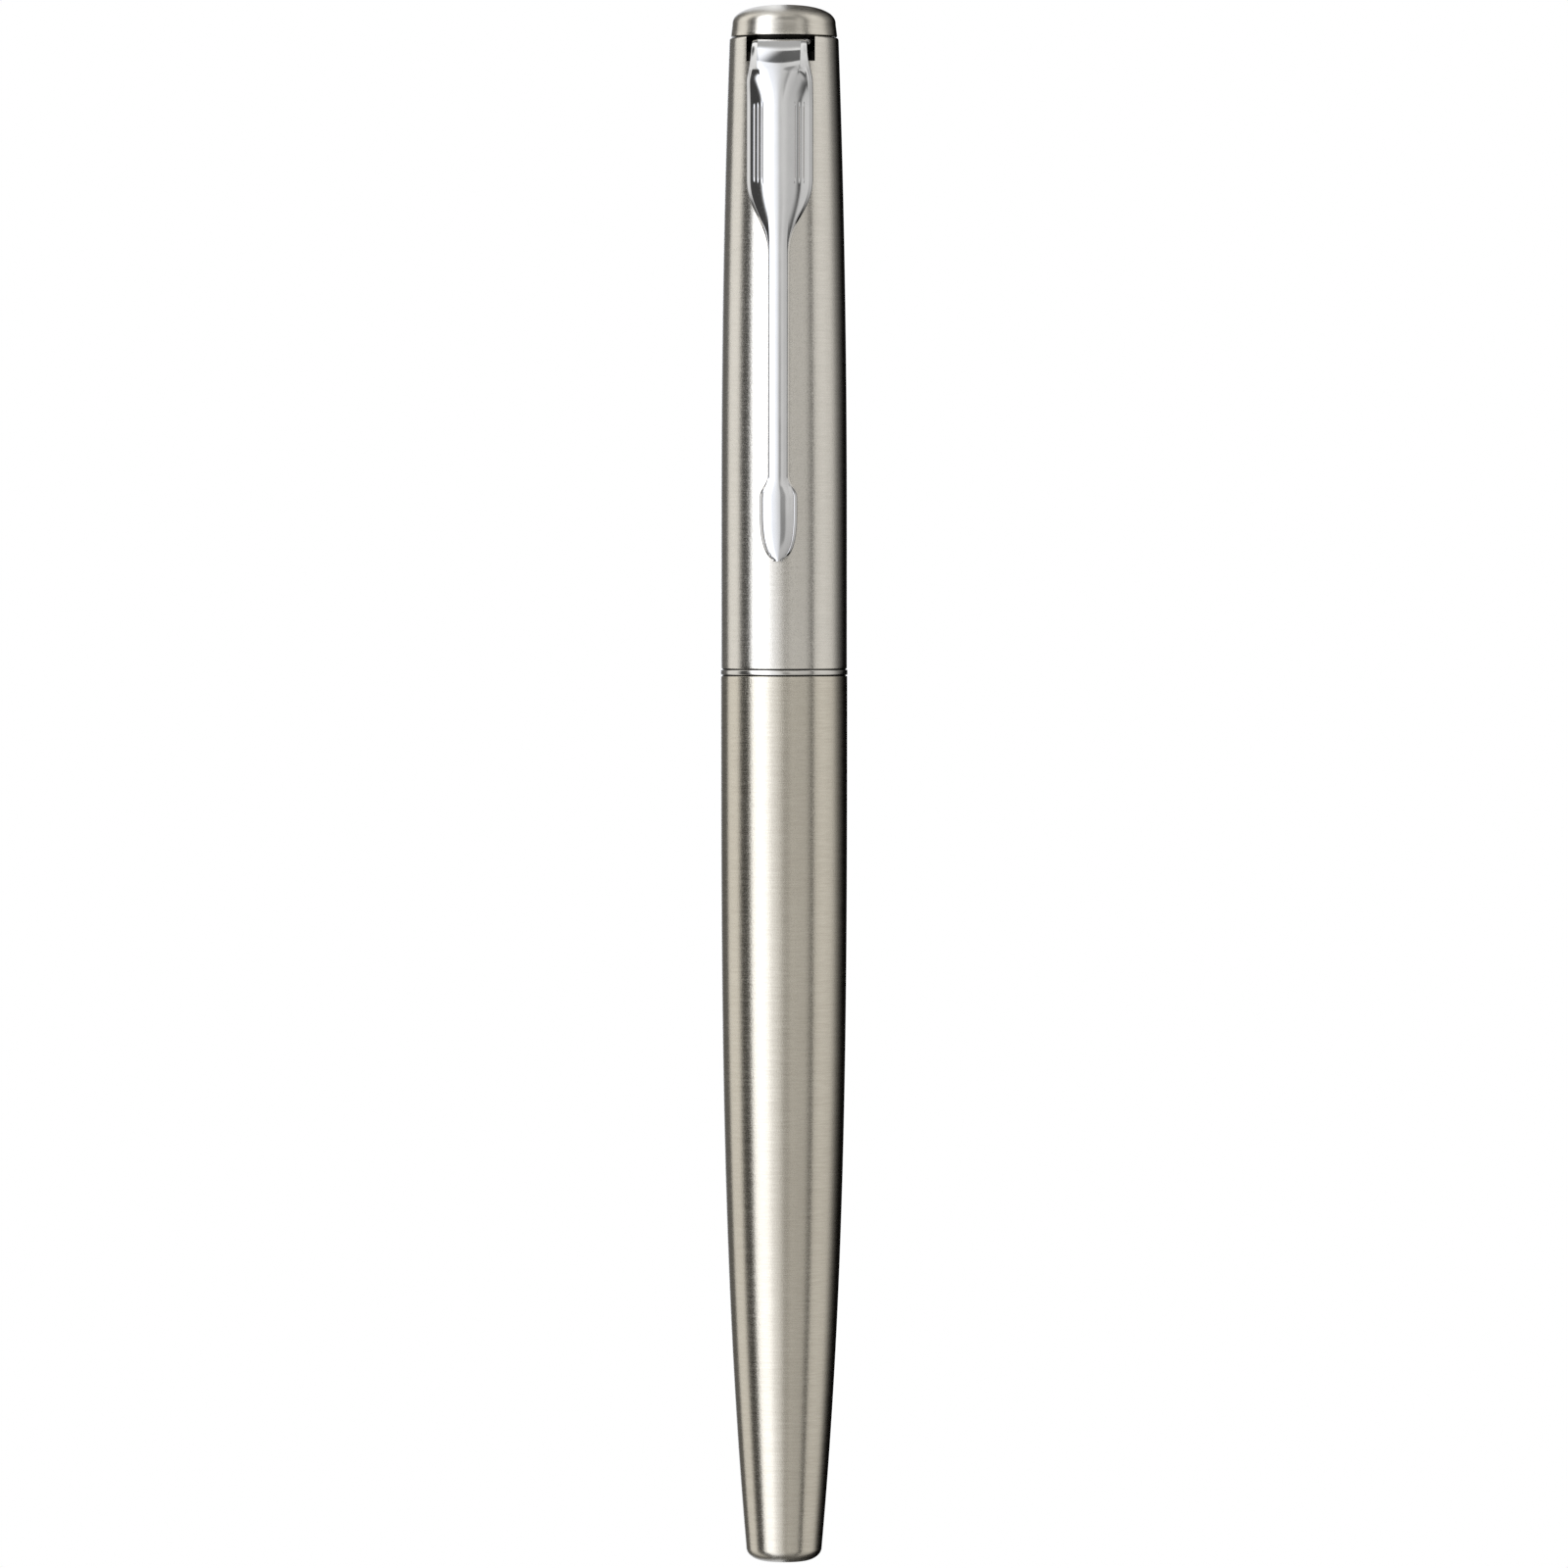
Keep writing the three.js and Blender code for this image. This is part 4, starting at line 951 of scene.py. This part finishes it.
def makeClip():
    low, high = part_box("clip")
    top, end, padOut = high.z / mm, low.z / mm, -low.y / mm
    bendLevel = top - clip["bendRise"]
    padLevel = capRim - clip["padTop"]
    length = capRim - end
    reach = clip["plateOut"] - clip["bend"] - clip["washerBore"] - 0.6
    shoulderTop = capRim - clip["plateLength"]
    stations = [bendStation(0, r, bendLevel) for r in levels(reach, 0.2, 4)]
    stations += [bendStation(a, 0, bendLevel) for a in levels(0, math.pi / 2, 26)]
    blade = (levels(bendLevel - 0.15, shoulderTop, 70)[:-1]
             + levels(shoulderTop, shoulderTop - clip["shoulder"], 44)[:-1]
             + levels(shoulderTop - clip["shoulder"], padLevel + 2.2, 24)[:-1]
             + levels(padLevel + 2.2, end + 1.2, 60)[:-1]
             + levels(end + 1.2, end, 22))
    stations += [bladeStation(z, bendLevel, padLevel, padOut, length) for z in blade]
    form = bmesh.new()
    engraved = form.verts.layers.float.new("engraved")
    rings = []
    for station in stations:
        half, cuts = clipSection(station)
        loop = half + [(0, station["under"])] + [(-x, d) for x, d in reversed(half[1:])]
        y, z = station["origin"]
        inY, inZ = station["inward"]
        ring = [form.verts.new((x * mm, (y + inY * d) * mm, (z + inZ * d) * mm)) for x, d in loop]
        for vert, cut in zip(ring, cuts + [0] + cuts[:0:-1]):
            vert[engraved] = cut
        rings.append(ring)
    joinRings(form, rings)
    piece = objectFrom("pocketClip", form, 40)
    washer = ringOutline(clip["washerBore"], clip["washer"], top - clip["sheet"], top - 0.01, 0.04, 0.04)
    combined(piece, turned("washer", washer, 96), "UNION", 40)
    return fitPiece(piece, "clip", steel["clip"])


makeClip()
print("clip made")

# Refill: tube, plugs, fibre reservoir, wick and point
refill = {"bore": 2.69, "vent": 0.5, "plugSpigot": 2.64, "noseRadius": 1.7, "noseSpigot": 2.64,
          "noseLength": 8.5, "pointBore": 1.3, "pointDepth": 3, "wick": 0.55, "wickDepth": 1.45,
          "film": 0.1}


def makeRefill():
    bottom, top, radius = span("refill_tube")
    tube = ringOutline(refill["bore"], radius, bottom, top, 0.05, 0.06)
    fitPiece(turned("refillTube", tube, 96), "refill_tube", resin["white"])

    low, high, plugRadius = span("refill_end_plug")
    plug = [(refill["vent"], low, 0.08), (plugRadius, low, 0.3), (plugRadius, bottom - 0.05, 0.05),
            (refill["plugSpigot"], bottom - 0.05, 0.02), (refill["plugSpigot"], high, 0.15),
            (refill["vent"], high, 0.05)]
    fitPiece(turned("refillPlug", plug, 96), "refill_end_plug", resin["black"])

    low, high, noseRadius = span("refill_nose")
    shoulder = high - refill["noseLength"]
    seatLevel = high - refill["pointDepth"]
    outline = [(refill["wick"], low, 0.05), (refill["noseSpigot"], low, 0.12),
               (refill["noseSpigot"], top + 0.05, 0.02), (noseRadius, top + 0.05, 0.05),
               (noseRadius, shoulder, 0.2), (refill["noseRadius"], shoulder, 0.15),
               (refill["noseRadius"], high, 0.22), (refill["pointBore"], high, 0.05),
               (refill["pointBore"], seatLevel, 0.05), (refill["wick"], seatLevel, 0.03)]
    fitPiece(turned("refillNose", outline, 96), "refill_nose", resin["black"])

    low, high, rodRadius = span("ink_reservoir")
    wickEnd = high - refill["wickDepth"]
    rod = [(0, low), (rodRadius, low, 0.12), (rodRadius, high, 0.12), (refill["wick"], high, 0.05),
           (refill["wick"], wickEnd, 0.03), (0, wickEnd)]
    fitPiece(turned("inkReservoir", rod, 72), "ink_reservoir",
             soakedFibre("soakedFibre", colour(0.02, 0.03, 0.12), colour(0.006, 0.01, 0.05)))

    low, high, wrapRadius = span("reservoir_sleeve")
    wrap = ringOutline(wrapRadius - refill["film"], wrapRadius, low, high, 0.02, 0.03)
    fitPiece(turned("reservoirSleeve", wrap, 72), "reservoir_sleeve", wrinkledFilm("wrinkledFilm"))

    low, high, wickRadius = span("feed_wick")
    wick = [(0, low), (wickRadius, low, 0.06), (wickRadius, high - wickRadius, 0.1),
            (wickRadius / 2, high, 0.08), (0, high)]
    fitPiece(turned("feedWick", wick, 48), "feed_wick",
             soakedFibre("soakedWick", colour(0.03, 0.04, 0.13), colour(0.01, 0.014, 0.06)))


point = {"bore": 0.65, "tipWall": 0.15, "taper": 3.7,
         "inkBore": 0.2, "cupWall": 0.14, "rimWall": 0.045, "coneLength": 1.7, "ballGap": 0.03}


def makePoint():
    low, high, radius = span("point_holder")
    holder = [(point["bore"], low, 0.05), (radius, low, 0.08), (radius, high - point["taper"], 0.5),
              (point["bore"] + point["tipWall"], high, 0.06), (point["bore"], high, 0.03)]
    fitPiece(turned("pointHolder", holder, 96), "point_holder", steel["nose"])

    ballLow, ballHigh, ballRadius = span("writing_ball")
    centre = (ballLow + ballHigh) / 2
    low, high, socketRadius = span("ball_point")
    cup = ballRadius + point["ballGap"]
    rimAngle = math.asin(min(1, (high - centre) / cup))
    cupArc = [(cup * math.cos(a), centre + cup * math.sin(a)) for a in levels(rimAngle, -math.pi / 3, 14)]
    rim = cup * math.cos(rimAngle) + point["rimWall"]
    socket = ([(point["inkBore"], low, 0.04), (socketRadius, low, 0.05),
               (socketRadius, centre - point["coneLength"], 0.2),
               (cup + point["cupWall"], centre - 0.12, 0.14), (rim, high, 0.02)]
              + cupArc + [(point["inkBore"], centre - cup)])
    fitPiece(turned("ballSocket", socket, 72, None, 45), "ball_point", brass)

    ball = [(ballRadius * math.cos(a), centre + ballRadius * math.sin(a))
            for a in levels(-math.pi / 2, math.pi / 2, 28)]
    ball[0], ball[-1] = (0, ballLow), (0, ballHigh)
    fitPiece(turned("writingBall", ball, 56), "writing_ball", groundCarbide("groundCarbide"))


makeRefill()
makePoint()
print("refill made")

# Stage: a pale floor, plain white to the camera and left out of reflections, in a studio of panels
floor = {"radius": 500, "level": -0.02}


def makeFloor():
    form = bmesh.new()
    bmesh.ops.create_circle(form, cap_ends=True, segments=96, radius=floor["radius"] * mm)
    piece = objectFrom("floor", form)
    piece.location.z = floor["level"] * mm
    material = bpy.data.materials.new("paleFloor")
    bench = emptyBench(material)
    seen = bench.node("ShaderNodeLightPath", {}, {}, "Is Camera Ray")
    paper = bench.node("ShaderNodeBsdfDiffuse", {}, {"Color": grey(0.85)})
    white = bench.node("ShaderNodeEmission", {}, {"Color": grey(1), "Strength": 1.0})
    shown = bench.node("ShaderNodeMixShader", {}, {0: seen, 1: paper, 2: white})
    bench.node("ShaderNodeOutputMaterial", {}, {"Surface": shown})
    piece.data.materials.append(material)
    piece.visible_glossy = False


# Soft panels round the pen. Directions are degrees from the camera's side, positive to its right;
# each panel fades in and out over its two softnesses, and lean shifts it sideways with height.
# Heights are from -1 below to 1 above, and above gives those between which a panel fades in.
studio = {
    "room": 0.055,
    "rise": 0.55, "boxRise": 0.3,  # how the light of panels and softboxes grows with height
    "ceiling": 0.45,
    "ground": 0.12,
    "warm": (1, 0.985, 0.955, 1),
    "cool": (0.955, 1, 1.1, 1),
    "panels": {
        "left rear wall": {"from": -166, "to": -124, "soft": (6, 4), "level": 0.07, "lean": 0},
        "left rear strip": {"from": -125, "to": -90, "soft": (4, 7), "level": 0.73, "lean": 0},
        "front wall": {"from": -65, "to": 50.8, "soft": (4, 5), "level": 0.47, "lean": 14},
        "front fill": {"from": -14, "to": 24, "soft": (8, 8), "level": 0.05, "lean": 0},
        "upper fill": {"from": 0, "to": 20, "soft": (8, 20), "level": 0.09, "lean": 0,
                       "above": (-0.06, 0.03)},
        "right panel": {"from": 56, "to": 107, "soft": (2, 14), "level": 0.48, "lean": 0},
        "right spill": {"from": 56, "to": 123, "soft": (2, 5), "level": 0.1, "lean": -30},
    },
    "softboxes": {
        "left softbox": {"from": -63, "to": -28, "soft": (3, 7), "level": 0.6, "lean": 12},
        "left spill": {"from": -63, "to": -10, "soft": (3, 12), "level": 0.52, "lean": 12},
        "backdrop": {"from": -200, "to": -164, "soft": (4, 4), "level": 0.9, "lean": 0},
    },
    "flag": {"from": 133.5, "to": 190, "soft": (4, 3), "shade": 0.95, "lean": -46},
    # dark opening above the front wall, the camera itself, and the gap before the right panel
    "opening": {"from": -32, "to": 20, "soft": (8, 8), "bottom": 0.27, "top": 0.8, "edge": 0.035,
                "shade": 0.84, "lean": -24},
    "body": {"from": -3, "to": 10, "soft": (2, 3), "bottom": -0.16, "top": 0.058, "edge": 0.02,
             "shade": 0.5, "lean": 0},
    "gap": {"from": 45, "to": 58, "soft": (6, 3), "bottom": -1, "top": -0.15, "edge": 0.2,
            "shade": 1.0, "lean": 0},
}


def makeStudio():
    world = bpy.data.worlds.new("studio")
    bpy.context.scene.world = world
    bench = emptyBench(world)
    way = bench.node("ShaderNodeTexCoord", {}, {}, "Generated")

    def along(axis):
        return bench.node("ShaderNodeVectorMath", {"operation": "DOT_PRODUCT"}, {0: way, 1: axis}, "Value")

    right, back = along(tuple(toRight)), along(tuple(toCamera))
    azimuth = right.math("ARCTAN2", right, back) * math.degrees(1)
    rise = along((0, 0, 1))

    def panel(spec):
        near, far = spec["soft"]
        across = azimuth + rise * spec["lean"]
        opened = bench.step(across, spec["from"] - near, spec["from"] + near)
        return opened * bench.step(across, spec["to"] - far, spec["to"] + far, 1.0, 0.0)

    def patch(spec):
        edge = spec["edge"]
        tall = bench.step(rise, spec["bottom"] - edge, spec["bottom"] + edge)
        tall = tall * bench.step(rise, spec["top"] - edge, spec["top"] + edge, 1.0, 0.0)
        return 1 - panel(spec) * tall * spec["shade"]

    high, low = bench.step(rise, 0.82, 0.97), bench.step(rise, -0.82, -0.95)

    def lit(specs, growth, room):  # what a group of panels sends past the shades
        light = 0.0
        for spec in specs.values():
            sent = panel(spec) * spec["level"]
            light = light + (sent * bench.step(rise, *spec["above"]) if "above" in spec else sent)
        light = light * (1 + rise * growth) + room
        light = light * (1 - panel(studio["flag"]) * studio["flag"]["shade"])
        for shade in ("opening", "body", "gap"):
            light = light * patch(studio[shade])
        return light * (1 - high) * (1 - low)

    warmth = lit(studio["panels"], studio["rise"], studio["room"])
    warmth = warmth + high * studio["ceiling"] + low * studio["ground"]
    cool = bench.node("ShaderNodeBackground", {}, {
        "Color": studio["cool"], "Strength": lit(studio["softboxes"], studio["boxRise"], 0.0)})
    warm = bench.node("ShaderNodeBackground", {}, {"Color": studio["warm"], "Strength": warmth})
    reflected = bench.node("ShaderNodeAddShader", {}, {0: cool, 1: warm})
    backdrop = bench.node("ShaderNodeBackground", {}, {"Color": grey(1), "Strength": 1.0})
    seen = bench.node("ShaderNodeLightPath", {}, {}, "Is Camera Ray")
    shown = bench.node("ShaderNodeMixShader", {}, {0: seen, 1: reflected, 2: backdrop})
    bench.node("ShaderNodeOutputWorld", {}, {"Surface": shown})


lamps = [
    {"name": "leftKey", "azimuth": -43, "level": 160, "distance": 700, "size": (190, 420), "power": 0.06},
    {"name": "rightFill", "azimuth": 76, "level": 120, "distance": 800, "size": (220, 460), "power": 0.015},
]


def makeLamp(spec):
    light = bpy.data.lights.new(spec["name"], "AREA")
    light.shape = "RECTANGLE"
    light.size, light.size_y = (side * mm for side in spec["size"])
    light.energy = spec["power"]
    angle = math.radians(spec["azimuth"])
    outward = toCamera * math.cos(angle) + toRight * math.sin(angle)
    aimed(spec["name"], light, outward, spec["distance"], spec["level"])


makeFloor()
makeStudio()
for lampSpec in lamps:
    makeLamp(lampSpec)
print("stage made")
